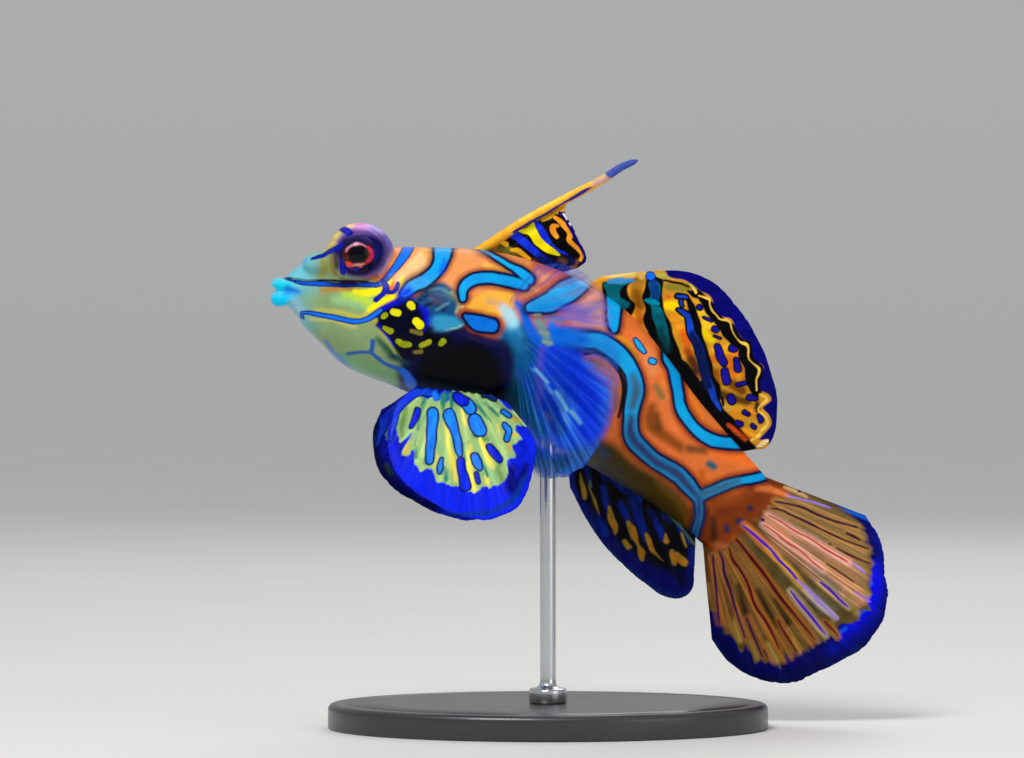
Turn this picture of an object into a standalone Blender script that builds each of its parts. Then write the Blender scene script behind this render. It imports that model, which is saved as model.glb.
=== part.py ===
# A life-size display model of a mandarinfish, held by one rod over an oval base.
# Metres, +Z up. The fish looks along -X and its left side faces -Y.
# The origin is the centre of the base's underside.

import math

import bmesh
import bpy
from mathutils import Matrix, Vector

MM = 0.001
GAP = 0.3 * MM  # between pieces that meet
SINK = 1.0 * MM  # how far a fin's root is carried into the body before it is cut back

# The body, as sections set along the backbone. Each row holds, in millimetres: the place of its
# centre (x, z and the sideways y), the rise to the back, the drop to the belly, and the half width.
BODY_SECTIONS = [
    (-26.3, 43.8, -0.6, 1.2, 1.4, 1.3),
    (-24.3, 43.7, -0.5, 3.0, 3.0, 2.4),
    (-21.8, 43.0, -0.4, 4.4, 4.4, 3.7),
    (-18.8, 42.2, -0.3, 5.9, 6.2, 4.9),
    (-14.8, 41.4, -0.2, 6.8, 7.1, 5.8),
    (-10.8, 40.7, -0.1, 7.4, 7.9, 6.3),
    (-6.8, 40.0, 0.0, 7.8, 8.2, 6.4),
    (-2.8, 38.8, 0.0, 7.9, 8.1, 6.2),
    (0.5, 37.3, 0.0, 7.9, 8.0, 5.8),
    (3.5, 35.6, 0.1, 7.5, 7.9, 5.2),
    (7.2, 32.6, 0.4, 6.6, 7.3, 4.4),
    (10.7, 29.3, 0.9, 5.7, 6.2, 3.6),
    (14.2, 26.1, 1.7, 5.1, 5.3, 2.7),
    (16.9, 23.6, 2.5, 4.8, 4.9, 1.9),
    (19.0, 21.5, 3.1, 4.6, 4.7, 1.0),
]
BODY_SIDES = 28
SQUARENESS = 2.25  # power of the sections' ellipse: 2 is a true one
LOW_WIDTH = 0.12  # how much wider than its middle a section is below, and narrower above

# The cuts between head, trunk and tail, as distances along the backbone.
HEAD_END = 18.8 * MM
TRUNK_END = 32.4 * MM
HEAD_RINGS, TRUNK_RINGS, TAIL_RINGS = 14, 10, 12

# The head's own forms.
EYE_CENTRE = (-18.7, 47.25)  # x and z of both eyes
EYE_APART = 2.7 * MM  # from the middle of the head to the centre of each eye's mound
EYE_MOUND = (3.35 * MM, 3.3 * MM, 3.2 * MM)
EYEBALL_RADIUS = 2.15 * MM
EYEBALL_OUT = 1.6 * MM  # how far the ball's centre lies outside the mound's
EYELID_OUT = 2.5 * MM  # the same for the ring of the lid
EYELID_RADIUS = 2.4 * MM
EYELID_TUBE = 0.35 * MM
BROW_AT = (-21.6, 47.2)  # x and z of the low rise in front of each eye
BROW_APART = 2.5 * MM
BROW = (1.6 * MM, 1.8 * MM, 1.5 * MM)

LIP_REACH = 1.0 * MM
LIP_HALF_WIDTH = 1.15 * MM
LIP_SWEEP = math.radians(105)
LIP_BACK = -26.0  # x of the middle of the arc that each lip follows
UPPER_LIP_Z, UPPER_LIP_TUBE = 44.4, 0.62 * MM
LOWER_LIP_Z, LOWER_LIP_TUBE = 42.85, 0.74 * MM
MOUTH_SLIT = (2.6 * MM, 2.6 * MM, 0.3 * MM)

NOSTRIL_AT = 3.0 * MM  # distance along the backbone
NOSTRIL_ANGLE = math.radians(42)
NOSTRIL_RADIUS = 0.34 * MM
NOSTRIL_TUBE = 0.15 * MM

GILL_FLAP_AT, GILL_FLAP_ANGLE = 16.6 * MM, math.radians(84)
GILL_FLAP = (2.1 * MM, 0.5 * MM, 1.7 * MM)
GILL_PORE_AT, GILL_PORE_ANGLE = 17.9 * MM, math.radians(88)
GILL_PORE = (0.55 * MM, 0.8 * MM, 0.75 * MM)

FIN_LOBE_AT, FIN_LOBE_ANGLE = 23.6 * MM, math.radians(84)
FIN_LOBE = (1.3 * MM, 0.8 * MM, 2.4 * MM)

# The fins. A root or a margin runs through points given as (share of the way, x, z[, y]).
MEMBRANE = 0.5 * MM
RAY_HEIGHT = 0.2 * MM
RAY_WIDTH = 0.28  # of the way from one ray to the next
MARGIN = 0.3 * MM
SCALLOP = 0.012  # how much longer a fin is along its rays than between them

FIRST_DORSAL_ROOT = [(0, -7.0, 47.35), (0.4, -3.6, 46.2), (1, 0.3, 44.9)]
FIRST_DORSAL_MARGIN = [
    (0, 2.7, 53.5), (0.3, 1.7, 51.8), (0.55, 2.9, 49.4), (0.8, 3.9, 46.9), (0.93, 2.6, 46.1),
    (1, 0.8, 46.0),
]
FIRST_SPINE = [
    (-7.3, 47.4, 0.5), (-2.9, 50.3, 0.5), (1.2, 52.6, 0.48), (5.2, 54.7, 0.44),
    (7.2, 56.0, 0.38), (9.0, 56.8, 0.28),
]

SECOND_DORSAL_ROOT = [
    (0, 3.7, 44.2), (0.25, 6.9, 40.4), (0.4, 8.9, 38.4), (0.55, 11.1, 36.0), (0.7, 13.7, 33.0),
    (0.85, 16.2, 30.3), (1, 18.7, 27.7),
]
SECOND_DORSAL_MARGIN = [
    (0, 5.4, 45.2), (0.06, 10.0, 45.7), (0.14, 14.2, 45.6), (0.25, 17.5, 43.9), (0.4, 20.3, 40.4),
    (0.55, 22.0, 36.9), (0.7, 23.0, 33.0), (0.85, 22.9, 29.8), (0.95, 22.0, 28.1), (1, 20.8, 27.8),
]

ANAL_ROOT = [
    (0, 1.9, 27.4), (0.3, 5.5, 25.8), (0.5, 7.7, 24.3), (0.7, 10.0, 22.3), (0.85, 12.0, 20.8),
    (1, 14.0, 19.5),
]
ANAL_MARGIN = [
    (0, 2.2, 24.0), (0.15, 4.1, 20.5), (0.3, 6.5, 17.2), (0.5, 9.7, 14.3), (0.7, 12.3, 12.8),
    (0.85, 14.4, 13.6), (1, 14.8, 16.6),
]

TAIL_ROOT = [(0, 21.5, 25.2), (0.5, 18.2, 21.4), (1, 15.6, 18.6)]
TAIL_MARGIN = [
    (0, 32.4, 21.0), (0.12, 33.8, 18.4), (0.24, 34.4, 15.1), (0.35, 34.6, 12.5), (0.48, 33.4, 9.2),
    (0.6, 30.5, 6.6), (0.72, 27.1, 5.0), (0.82, 24.3, 3.8), (0.9, 21.2, 4.5), (0.96, 18.5, 6.1),
    (1, 16.7, 8.5),
]
TAIL_DRIFT = 2.2 * MM  # how far the tail fin's margin swings to the far side

PECTORAL_ROOT = [(0, -3.7, 42.5, 5.6), (0.5, -3.6, 40.4, 5.7), (1, -3.2, 38.4, 5.6)]
PECTORAL_MARGIN = [
    (0, -1.2, 46.1, 7.2), (0.08, 1.2, 46.2, 7.8), (0.16, 3.6, 45.3, 8.2), (0.24, 5.6, 43.0, 8.8),
    (0.36, 6.6, 39.0, 9.2), (0.48, 6.9, 34.3, 9.0), (0.6, 5.8, 29.8, 8.6), (0.72, 3.4, 26.2, 8.2),
    (0.84, 0.5, 25.0, 8.0), (0.94, -1.6, 25.6, 7.8), (1, -2.4, 28.0, 7.6),
]

PELVIC_ROOT = [(0, -12.2, 34.4, 3.2), (0.5, -9.0, 33.8, 4.2), (1, -5.8, 33.3, 4.4)]
PELVIC_MARGIN = [
    (0, -15.0, 32.6, 5.0), (0.12, -15.9, 29.6, 6.8), (0.25, -15.1, 25.8, 8.4), (0.38, -12.3, 23.3, 9.8),
    (0.5, -8.8, 21.6, 10.8), (0.62, -5.8, 21.2, 11.6), (0.74, -3.1, 22.4, 12.0), (0.85, -1.8, 25.3, 12.2),
    (0.93, -1.3, 28.8, 12.0), (1, -4.0, 32.6, 8.6),
]
FAR_PELVIC_SWING = (-1.8 * MM, 0.0, -0.5 * MM)  # the far fan is held further forward

# The stand.
BASE_HALF_LENGTH, BASE_HALF_DEPTH, BASE_HEIGHT = 22 * MM, 16 * MM, 2.5 * MM
BASE_EDGE = 0.6 * MM
BASE_SIDES = 48
ROD_RADIUS = 0.8 * MM
ROD_COLLAR_RADIUS, ROD_COLLAR_HEIGHT = 1.9 * MM, 1.2 * MM
ROD_TOP = 31.0 * MM  # inside the belly, before it is cut back

BODY_COLOUR = (0.86, 0.33, 0.06)
HEAD_COLOUR = (0.35, 0.62, 0.42)
FIN_COLOUR = (0.03, 0.08, 0.75)
EYE_COLOUR = (0.30, 0.04, 0.03)


def clear_scene():
    for obj in list(bpy.data.objects):
        bpy.data.objects.remove(obj)


def material(name, colour, roughness=0.35, metallic=0.0):
    made = bpy.data.materials.new(name)
    made.use_nodes = True
    shader = made.node_tree.nodes["Principled BSDF"]
    shader.inputs["Base Color"].default_value = (*colour, 1)
    shader.inputs["Roughness"].default_value = roughness
    shader.inputs["Metallic"].default_value = metallic
    return made


def curve_through(knots, values):
    """A smooth function that passes through values at knots."""
    last = len(knots) - 1

    def slope(i):
        before, after = max(i - 1, 0), min(i + 1, last)
        return (values[after] - values[before]) / (knots[after] - knots[before])

    def at(t):
        i = 0
        while i < last - 1 and t > knots[i + 1]:
            i += 1
        step = knots[i + 1] - knots[i]
        f = (t - knots[i]) / step
        return (
            values[i] * (2 * f**3 - 3 * f**2 + 1)
            + slope(i) * (step * (f**3 - 2 * f**2 + f))
            + values[i + 1] * (3 * f**2 - 2 * f**3)
            + slope(i + 1) * (step * (f**3 - f**2))
        )

    return at


def signed_power(value, power):
    return math.copysign(abs(value) ** power, value)


def backbone():
    """The curve of section centres and that of (rise, drop, half width), by distance, and its length."""
    centres = [Vector((x, y, z)) * MM for x, z, y, *_ in BODY_SECTIONS]
    sizes = [Vector(row[3:]) * MM for row in BODY_SECTIONS]
    knots = [0.0]
    for a, b in zip(centres, centres[1:]):
        knots.append(knots[-1] + (b - a).length)
    return curve_through(knots, centres), curve_through(knots, sizes), knots[-1]


CENTRE_AT, SIZE_AT, BODY_LENGTH = backbone()


def axes_at(distance):
    """The directions along the body, to its back and to its left side."""
    step = 0.05 * MM
    along = (CENTRE_AT(distance + step) - CENTRE_AT(distance - step)).normalized()
    left = along.cross(Vector((-along.z, 0, along.x))).normalized()
    return along, left.cross(along), left


def skin_point(distance, angle, grow=0.0):
    """A point of the body's surface. The angle is 0 at the back and runs over the left side."""
    _, up, left = axes_at(distance)
    rise, drop, half = SIZE_AT(distance)
    power = 2 / SQUARENESS
    height = signed_power(math.cos(angle), power)
    width = signed_power(math.sin(angle), power)
    reach = (rise if height > 0 else drop) + grow
    return (
        CENTRE_AT(distance)
        + up * (height * reach)
        + left * (width * (half * (1 - LOW_WIDTH * height) + grow))
    )


def new_object(name, bm, surface=None):
    bmesh.ops.recalc_face_normals(bm, faces=bm.faces)
    if bm.calc_volume(signed=True) < 0:
        bmesh.ops.reverse_faces(bm, faces=bm.faces)
    mesh = bpy.data.meshes.new(name)
    bm.to_mesh(mesh)
    bm.free()
    obj = bpy.data.objects.new(name, mesh)
    bpy.context.scene.collection.objects.link(obj)
    if surface:
        mesh.materials.append(surface)
    return obj


def loft(name, rings, surface=None):
    """A closed body through rings of equally many points, with flat ends."""
    bm = bmesh.new()
    loops = [[bm.verts.new(p) for p in ring] for ring in rings]
    for a, b in zip(loops, loops[1:]):
        for i in range(len(a)):
            j = (i + 1) % len(a)
            bm.faces.new((a[i], a[j], b[j], b[i]))
    bm.faces.new(loops[0])
    bm.faces.new(loops[-1][::-1])
    return new_object(name, bm, surface)


def body_piece(name, start, end, rings, grow=0.0, surface=None):
    made = []
    for r in range(rings):
        distance = start + (end - start) * r / (rings - 1)
        turns = (2 * math.pi * (i + 0.5) / BODY_SIDES for i in range(BODY_SIDES))
        made.append([skin_point(distance, turn, grow) for turn in turns])
    return loft(name, made, surface)


def tube(name, path, radii, sides=12):
    """A round closed tube along a path of points, its ends flat."""
    rings = []
    for i, point in enumerate(path):
        along = (path[min(i + 1, len(path) - 1)] - path[max(i - 1, 0)]).normalized()
        side = along.cross(Vector((0, 0, 1)))
        side = (side if side.length > 0.1 else along.cross(Vector((0, 1, 0)))).normalized()
        other = along.cross(side)
        turns = (2 * math.pi * n / sides for n in range(sides))
        rings.append([point + (side * math.cos(a) + other * math.sin(a)) * radii[i] for a in turns])
    return loft(name, rings)


def ring(name, centre, normal, radius, thickness, around=18, sides=8):
    """A torus at centre, its axis along normal."""
    bm = bmesh.new()
    loops = []
    for n in range(around):
        turn = 2 * math.pi * n / around
        out = Vector((math.cos(turn), math.sin(turn), 0))
        loop = []
        for k in range(sides):
            angle = 2 * math.pi * k / sides
            rise = Vector((0, 0, thickness * math.sin(angle)))
            loop.append(bm.verts.new(out * (radius + thickness * math.cos(angle)) + rise))
        loops.append(loop)
    for n in range(around):
        a, b = loops[n], loops[(n + 1) % around]
        for k in range(sides):
            j = (k + 1) % sides
            bm.faces.new((a[k], a[j], b[j], b[k]))
    bm.transform(Matrix.Translation(centre) @ normal.to_track_quat("Z", "Y").to_matrix().to_4x4())
    return new_object(name, bm)


def ellipsoid(name, centre, radii, axes=None, segments=24, rings=14, surface=None):
    bm = bmesh.new()
    bmesh.ops.create_uvsphere(bm, u_segments=segments, v_segments=rings, radius=1)
    turn = Matrix(axes).transposed().to_4x4() if axes else Matrix.Identity(4)
    bm.transform(Matrix.Translation(centre) @ turn @ Matrix.Diagonal((*radii, 1)))
    return new_object(name, bm, surface)


def box(name, centre, size):
    bm = bmesh.new()
    bmesh.ops.create_cube(bm, size=1)
    bm.transform(Matrix.Translation(centre) @ Matrix.Diagonal((*size, 1)))
    return new_object(name, bm)


def keep_largest(mesh):
    """Drops every closed surface of the mesh but its largest."""
    bm = bmesh.new()
    bm.from_mesh(mesh)
    left, shells = set(bm.faces), []
    while left:
        queue = [left.pop()]
        shell = set(queue)
        while queue:
            for edge in queue.pop().edges:
                for face in edge.link_faces:
                    if face in left:
                        left.remove(face)
                        shell.add(face)
                        queue.append(face)
        shells.append(shell)
    shells.sort(key=lambda shell: sum(face.calc_area() for face in shell))
    scraps = [face for shell in shells[:-1] for face in shell]
    bmesh.ops.delete(bm, geom=scraps, context="FACES")
    bm.to_mesh(mesh)
    bm.free()


def combine(obj, others, operation, solver="EXACT"):
    """Joins the other closed meshes to obj, or cuts them from it, and removes them."""
    group = bpy.data.collections.new(operation)
    bpy.context.scene.collection.children.link(group)
    for other in others:
        bpy.context.scene.collection.objects.unlink(other)
        group.objects.link(other)
    step = obj.modifiers.new(operation, "BOOLEAN")
    step.operation = operation
    step.operand_type = "COLLECTION"
    step.collection = group
    step.solver = solver
    bpy.context.view_layer.update()
    done = obj.evaluated_get(bpy.context.evaluated_depsgraph_get())
    mesh = bpy.data.meshes.new_from_object(done)
    obj.modifiers.clear()
    obj.data = mesh
    for other in others:
        bpy.data.objects.remove(other)
    bpy.data.collections.remove(group)
    keep_largest(mesh)


def smooth_shading(obj, sharp=40):
    obj.data.shade_smooth()
    obj.data.set_sharp_from_angle(angle=math.radians(sharp))


def side_axes(distance, angle):
    """Axes for a form that lies on the skin: along the body, outwards and up the flank."""
    along, _, _ = axes_at(distance)
    lift = skin_point(distance, angle - 0.1) - skin_point(distance, angle + 0.1)
    outward = along.cross(lift).normalized()
    if outward.dot(skin_point(distance, angle) - CENTRE_AT(distance)) < 0:
        outward = -outward
    return along, outward, along.cross(outward)


def on_both_sides(make):
    """Makes a form once for the left side and once for the right."""
    return [made for side in (1, -1) for made in make(side)]


def eye_mound_centre(side):
    x, z = EYE_CENTRE
    return Vector((x * MM, -side * EYE_APART - 0.3 * MM, z * MM))


def eyeball_centre(side):
    return eye_mound_centre(side) + Vector((0, -side * EYEBALL_OUT, 0))


def lip(name, height, thickness):
    """A lip: a tube bent round the front of the mouth."""
    path, radii = [], []
    steps = 12
    for n in range(steps + 1):
        turn = LIP_SWEEP * (2 * n / steps - 1)
        x = LIP_BACK * MM - LIP_REACH * math.cos(turn)
        y = LIP_HALF_WIDTH * math.sin(turn) - 0.6 * MM
        path.append(Vector((x, y, height * MM)))
        radii.append(thickness * (1 - 0.25 * abs(2 * n / steps - 1) ** 3))
    return tube(name, path, radii)


def skin_form(name, distance, angle, radii, side):
    """An ellipsoid set on the skin, its radii along the body, outwards and up the flank."""
    axes = side_axes(distance, side * angle)
    return ellipsoid(name, skin_point(distance, side * angle), radii, axes, 16, 10)


def make_head(surface):
    head = body_piece("head", 0, HEAD_END - GAP / 2, HEAD_RINGS, surface=surface)

    def mounds(side):
        centre = eye_mound_centre(side)
        outward = Vector((0, -side, 0))
        lid = centre + outward * EYELID_OUT
        nostril = skin_point(NOSTRIL_AT, side * NOSTRIL_ANGLE)
        facing = side_axes(NOSTRIL_AT, side * NOSTRIL_ANGLE)[1]
        brow = Vector((BROW_AT[0] * MM, -side * BROW_APART - 0.3 * MM, BROW_AT[1] * MM))
        return [
            ellipsoid("mound", centre, EYE_MOUND, segments=26, rings=14),
            ring("lid", lid, outward, EYELID_RADIUS, EYELID_TUBE),
            ellipsoid("brow", brow, BROW, segments=20, rings=12),
            ring("nostril", nostril + facing * 0.08 * MM, facing, NOSTRIL_RADIUS, NOSTRIL_TUBE, 10, 6),
            skin_form("flap", GILL_FLAP_AT, GILL_FLAP_ANGLE, GILL_FLAP, side),
        ]

    def pockets(side):
        return [
            ellipsoid("pocket", eyeball_centre(side), (EYEBALL_RADIUS + GAP,) * 3, segments=20, rings=12),
            skin_form("pore", GILL_PORE_AT, GILL_PORE_ANGLE, GILL_PORE, side),
        ]

    lips = [
        lip("upper_lip", UPPER_LIP_Z, UPPER_LIP_TUBE),
        lip("lower_lip", LOWER_LIP_Z, LOWER_LIP_TUBE),
    ]
    slit_middle = Vector((LIP_BACK - 1.2, -0.6, (UPPER_LIP_Z + LOWER_LIP_Z) / 2 + 0.06)) * MM
    behind_middle = CENTRE_AT(HEAD_END) + Vector((5 * MM - GAP / 2, 0, 0))
    behind = box("behind", behind_middle, (10 * MM, 20 * MM, 20 * MM))
    behind.data.transform(turned_to(HEAD_END))
    combine(head, on_both_sides(mounds) + lips, "UNION", "MANIFOLD")
    combine(head, on_both_sides(pockets) + [box("slit", slit_middle, MOUTH_SLIT), behind], "DIFFERENCE")
    return head


def turned_to(distance):
    """Turns a shape about the backbone's point at distance, from +X to the way along the body."""
    along, up, left = axes_at(distance)
    turn = Matrix((along, -left, up)).transposed().to_4x4()
    middle = Matrix.Translation(CENTRE_AT(distance))
    return middle @ turn @ middle.inverted()


def make_eye(name, side, surface):
    centre = eyeball_centre(side)
    return ellipsoid(name, centre, (EYEBALL_RADIUS,) * 3, segments=20, rings=12, surface=surface)


def fin_lobes(grow=0.0):
    radii = [r + grow for r in FIN_LOBE]
    return [skin_form("lobe", FIN_LOBE_AT, FIN_LOBE_ANGLE, radii, side) for side in (1, -1)]


def make_trunk(surface):
    trunk = body_piece("trunk", HEAD_END + GAP / 2, TRUNK_END - GAP / 2, TRUNK_RINGS, surface=surface)
    combine(trunk, fin_lobes(), "UNION")
    return trunk


def make_tail_stem(surface):
    return body_piece("tail_stem", TRUNK_END + GAP / 2, BODY_LENGTH, TAIL_RINGS, surface=surface)


def body_cutter():
    """The body's outside, one gap larger all round."""
    return body_piece("body_cutter", 0, BODY_LENGTH + GAP, 40, grow=GAP)


def curve_of(rows):
    """A curve through rows of (share, x, z[, y]) in millimetres."""
    points = [Vector((row[1], row[3] if len(row) > 3 else 0, row[2])) * MM for row in rows]
    return curve_through([row[0] for row in rows], points)


def middle_y(point):
    """The sideways place of the backbone nearest to a point."""
    steps = 60
    places = (BODY_LENGTH * n / steps for n in range(steps + 1))
    nearest = min(places, key=lambda d: (CENTRE_AT(d) - point).xz.length)
    return CENTRE_AT(nearest).y


def fin(name, place, rays, rows, surface):
    """A fin of one membrane with rays raised on both faces. place(t, k) gives its middle surface: t runs
    from its first ray to its last, and k from its root to its margin."""
    step = 1 / (rays - 1)
    columns = []
    for n in range(rays):
        t = n * step
        columns += [(t - RAY_WIDTH * step, 0), (t, 1), (t + RAY_WIDTH * step, 0)]
    columns = columns[1:-1]
    small = 0.01

    bm = bmesh.new()
    faces = ([], [])
    for t, raised in columns:
        strips = ([], [])
        for r in range(rows + 1):
            k = r / rows * (1 + SCALLOP * (raised - 0.5))
            across = place(min(t + small, 1), k) - place(max(t - small, 0), k)
            outward = place(t, k + small) - place(t, k - small)
            normal = across.cross(outward).normalized()
            half = MEMBRANE / 2 + raised * RAY_HEIGHT * (1 - 0.7 * k)
            half = half if r < rows else MARGIN / 2
            for strip, sign in zip(strips, (1, -1)):
                strip.append(bm.verts.new(place(t, k) + normal * half * sign))
        for face, strip in zip(faces, strips):
            face.append(strip)

    def quad(a, b, c, d):
        bm.faces.new((a, b, c))
        bm.faces.new((a, c, d))

    front, back = faces
    last = len(columns) - 1
    for i in range(last):
        for r in range(rows):
            quad(front[i][r], front[i + 1][r], front[i + 1][r + 1], front[i][r + 1])
            quad(back[i][r], back[i + 1][r], back[i + 1][r + 1], back[i][r + 1])
        for r in (0, rows):
            quad(front[i][r], front[i + 1][r], back[i + 1][r], back[i][r])
    for i in (0, last):
        for r in range(rows):
            quad(front[i][r], front[i][r + 1], back[i][r + 1], back[i][r])
    return new_object(name, bm, surface)


def middle_fin(name, root_rows, margin_rows, rays, rows, surface, ripple=0.0, drift=0.0):
    """A fin in the plane of the body: its root follows the bend, and its margin waves a little."""
    root, margin = curve_of(root_rows), curve_of(margin_rows)

    def place(t, k):
        start, end = root(t), margin(t)
        start.y = middle_y(start)
        end.y = start.y + drift + ripple * math.sin(2.6 * math.pi * t + 0.6)
        return start.lerp(end, k)

    return fin(name, place, rays, rows, surface)


def side_fin(name, root_rows, margin_rows, side, rays, rows, surface, cup=0.0, swing=(0, 0, 0)):
    """A fin of one side, cupped outwards between its root and its margin."""
    root, margin = curve_of(root_rows), curve_of(margin_rows)

    def place(t, k):
        start, end = root(t), margin(t) + Vector(swing)
        middle = start.lerp(end, k)
        middle.y += cup * math.sin(math.pi * k) * math.sin(math.pi * t) ** 0.5
        middle.y *= -side
        return middle

    return fin(name, place, rays, rows, surface)


def make_first_dorsal(surface):
    made = middle_fin("first_dorsal_fin", FIRST_DORSAL_ROOT, FIRST_DORSAL_MARGIN, 5, 8, surface, 0.35 * MM)
    knots = [n / (len(FIRST_SPINE) - 1) for n in range(len(FIRST_SPINE))]
    spine = curve_through(knots, [Vector(row) * MM for row in FIRST_SPINE])
    steps = 16
    path, radii = [], []
    for n in range(steps + 1):
        x, z, thickness = spine(n / steps)
        path.append(Vector((x, 0, z)))
        radii.append(thickness)
    combine(made, [tube("first_spine", path, radii, 10)], "UNION", "MANIFOLD")
    return made


def make_stand(base_surface, rod_surface):
    bm = bmesh.new()
    outline = []
    for n in range(BASE_SIDES):
        turn = 2 * math.pi * n / BASE_SIDES
        x, y = BASE_HALF_LENGTH * math.cos(turn), BASE_HALF_DEPTH * math.sin(turn)
        outline.append(bm.verts.new((x, y, 0)))
    bottom = bm.faces.new(outline)
    raised = bmesh.ops.extrude_face_region(bm, geom=[bottom])["geom"]
    top = [item for item in raised if isinstance(item, bmesh.types.BMVert)]
    bmesh.ops.translate(bm, verts=top, vec=(0, 0, BASE_HEIGHT))
    base = new_object("stand_base", bm, base_surface)
    rounding = base.modifiers.new("edge", "BEVEL")
    rounding.width = BASE_EDGE
    rounding.segments = 3
    rounding.limit_method = "ANGLE"

    start = BASE_HEIGHT + GAP
    collar_top = start + ROD_COLLAR_HEIGHT
    profile = [
        (start, ROD_COLLAR_RADIUS), (collar_top - 0.3 * MM, ROD_COLLAR_RADIUS),
        (collar_top, ROD_COLLAR_RADIUS - 0.3 * MM), (collar_top + 0.5 * MM, ROD_RADIUS),
        (ROD_TOP, ROD_RADIUS),
    ]
    sides = 20
    rings = []
    for height, radius in profile:
        turns = (2 * math.pi * n / sides for n in range(sides))
        rings.append([Vector((radius * math.cos(a), radius * math.sin(a), height)) for a in turns])
    rod = loft("stand_rod", rings, rod_surface)
    combine(rod, [body_cutter()], "DIFFERENCE")
    return [base, rod]


def main():
    clear_scene()
    body = material("body_skin", BODY_COLOUR)
    face = material("head_skin", HEAD_COLOUR)
    fin_skin = material("fin_membrane", FIN_COLOUR, 0.3)
    eye = material("eye", EYE_COLOUR, 0.08)
    base = material("stand_base", (0.02, 0.02, 0.022), 0.3)
    steel = material("stand_rod", (0.62, 0.63, 0.65), 0.25, 1.0)

    solids = [
        make_head(face),
        make_eye("eye_left", 1, eye),
        make_eye("eye_right", -1, eye),
        make_trunk(body),
        make_tail_stem(body),
    ]

    fins = [
        make_first_dorsal(fin_skin),
        middle_fin("second_dorsal_fin", SECOND_DORSAL_ROOT, SECOND_DORSAL_MARGIN, 9, 8, fin_skin, 0.4 * MM),
        middle_fin("anal_fin", ANAL_ROOT, ANAL_MARGIN, 8, 7, fin_skin, -0.4 * MM),
        middle_fin("tail_fin", TAIL_ROOT, TAIL_MARGIN, 11, 9, fin_skin, 0.5 * MM, TAIL_DRIFT),
    ]
    for side, word, swing in ((1, "left", (0, 0, 0)), (-1, "right", FAR_PELVIC_SWING)):
        rows = PECTORAL_ROOT, PECTORAL_MARGIN
        pectoral = side_fin(f"pectoral_fin_{word}", *rows, side, 12, 7, fin_skin, 0.5 * MM)
        rows = PELVIC_ROOT, PELVIC_MARGIN
        pelvic = side_fin(f"pelvic_fin_{word}", *rows, side, 10, 8, fin_skin, 0.9 * MM, swing)
        fins += [pectoral, pelvic]
    for made in fins:
        combine(made, [body_cutter()], "DIFFERENCE", "MANIFOLD")
        if made.name.startswith("pectoral"):
            combine(made, fin_lobes(GAP), "DIFFERENCE", "MANIFOLD")

    whole = bpy.data.objects.new("mandarinfish", None)
    bpy.context.scene.collection.objects.link(whole)
    for obj in solids + fins + make_stand(base, steel):
        smooth_shading(obj)
        obj.parent = whole


main()
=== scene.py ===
import math

import bmesh
import bpy
import numpy as np
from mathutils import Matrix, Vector


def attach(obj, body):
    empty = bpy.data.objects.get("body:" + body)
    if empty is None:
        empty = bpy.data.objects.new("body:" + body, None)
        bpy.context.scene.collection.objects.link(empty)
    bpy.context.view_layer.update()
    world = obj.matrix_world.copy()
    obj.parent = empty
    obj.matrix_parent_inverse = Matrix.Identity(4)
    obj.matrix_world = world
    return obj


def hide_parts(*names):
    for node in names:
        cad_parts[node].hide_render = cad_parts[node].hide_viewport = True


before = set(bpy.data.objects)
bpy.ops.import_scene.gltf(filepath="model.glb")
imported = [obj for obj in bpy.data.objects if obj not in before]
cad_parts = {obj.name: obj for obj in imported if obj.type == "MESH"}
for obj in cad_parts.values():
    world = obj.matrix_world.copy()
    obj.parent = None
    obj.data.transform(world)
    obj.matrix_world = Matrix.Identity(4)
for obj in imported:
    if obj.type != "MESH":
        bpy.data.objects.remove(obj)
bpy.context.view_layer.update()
mm = 0.001

# The camera looks along +Y. A photo pixel is 0.1 mm in the plane y = 0, and middle is the photo's middle.
camera = {"x": -0.0036, "y": -0.4, "z": 0.0349, "lens": 140.6, "sensor": 36.0, "middle": (512, 379)}
pixel = 0.1 * mm


def seen(spots):
    # where points show in the photo, in its pixels
    away = (spots[:, 1] - camera["y"]) / -camera["y"]
    across, down = camera["middle"]
    x = across + (spots[:, 0] - camera["x"]) / away / pixel
    y = down - (spots[:, 2] - camera["z"]) / away / pixel
    return np.stack((x, y), axis=1)


def curveThrough(knots, values):
    # a smooth curve through values at knots, read at many places at once
    knots, values = np.array(knots, float), np.array(values, float)
    count = len(knots)
    before = np.maximum(np.arange(count) - 1, 0)
    after = np.minimum(np.arange(count) + 1, count - 1)
    slopes = (values[after] - values[before]) / (knots[after] - knots[before])[:, None]

    def at(t):
        t = np.atleast_1d(np.asarray(t, float))
        i = np.clip(np.searchsorted(knots, t, side="right") - 1, 0, count - 2)
        step = (knots[i + 1] - knots[i])[:, None]
        f = (t - knots[i])[:, None] / step
        return (
            values[i] * (2 * f**3 - 3 * f**2 + 1)
            + slopes[i] * step * (f**3 - 2 * f**2 + f)
            + values[i + 1] * (3 * f**2 - 2 * f**3)
            + slopes[i + 1] * step * (f**3 - f**2)
        )

    return at


def unit(v):
    return v / np.maximum(np.linalg.norm(v, axis=-1, keepdims=True), 1e-12)


def softStep(low, high, x):
    f = np.clip((x - low) / (high - low), 0, 1)
    return f * f * (3 - 2 * f)


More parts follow.
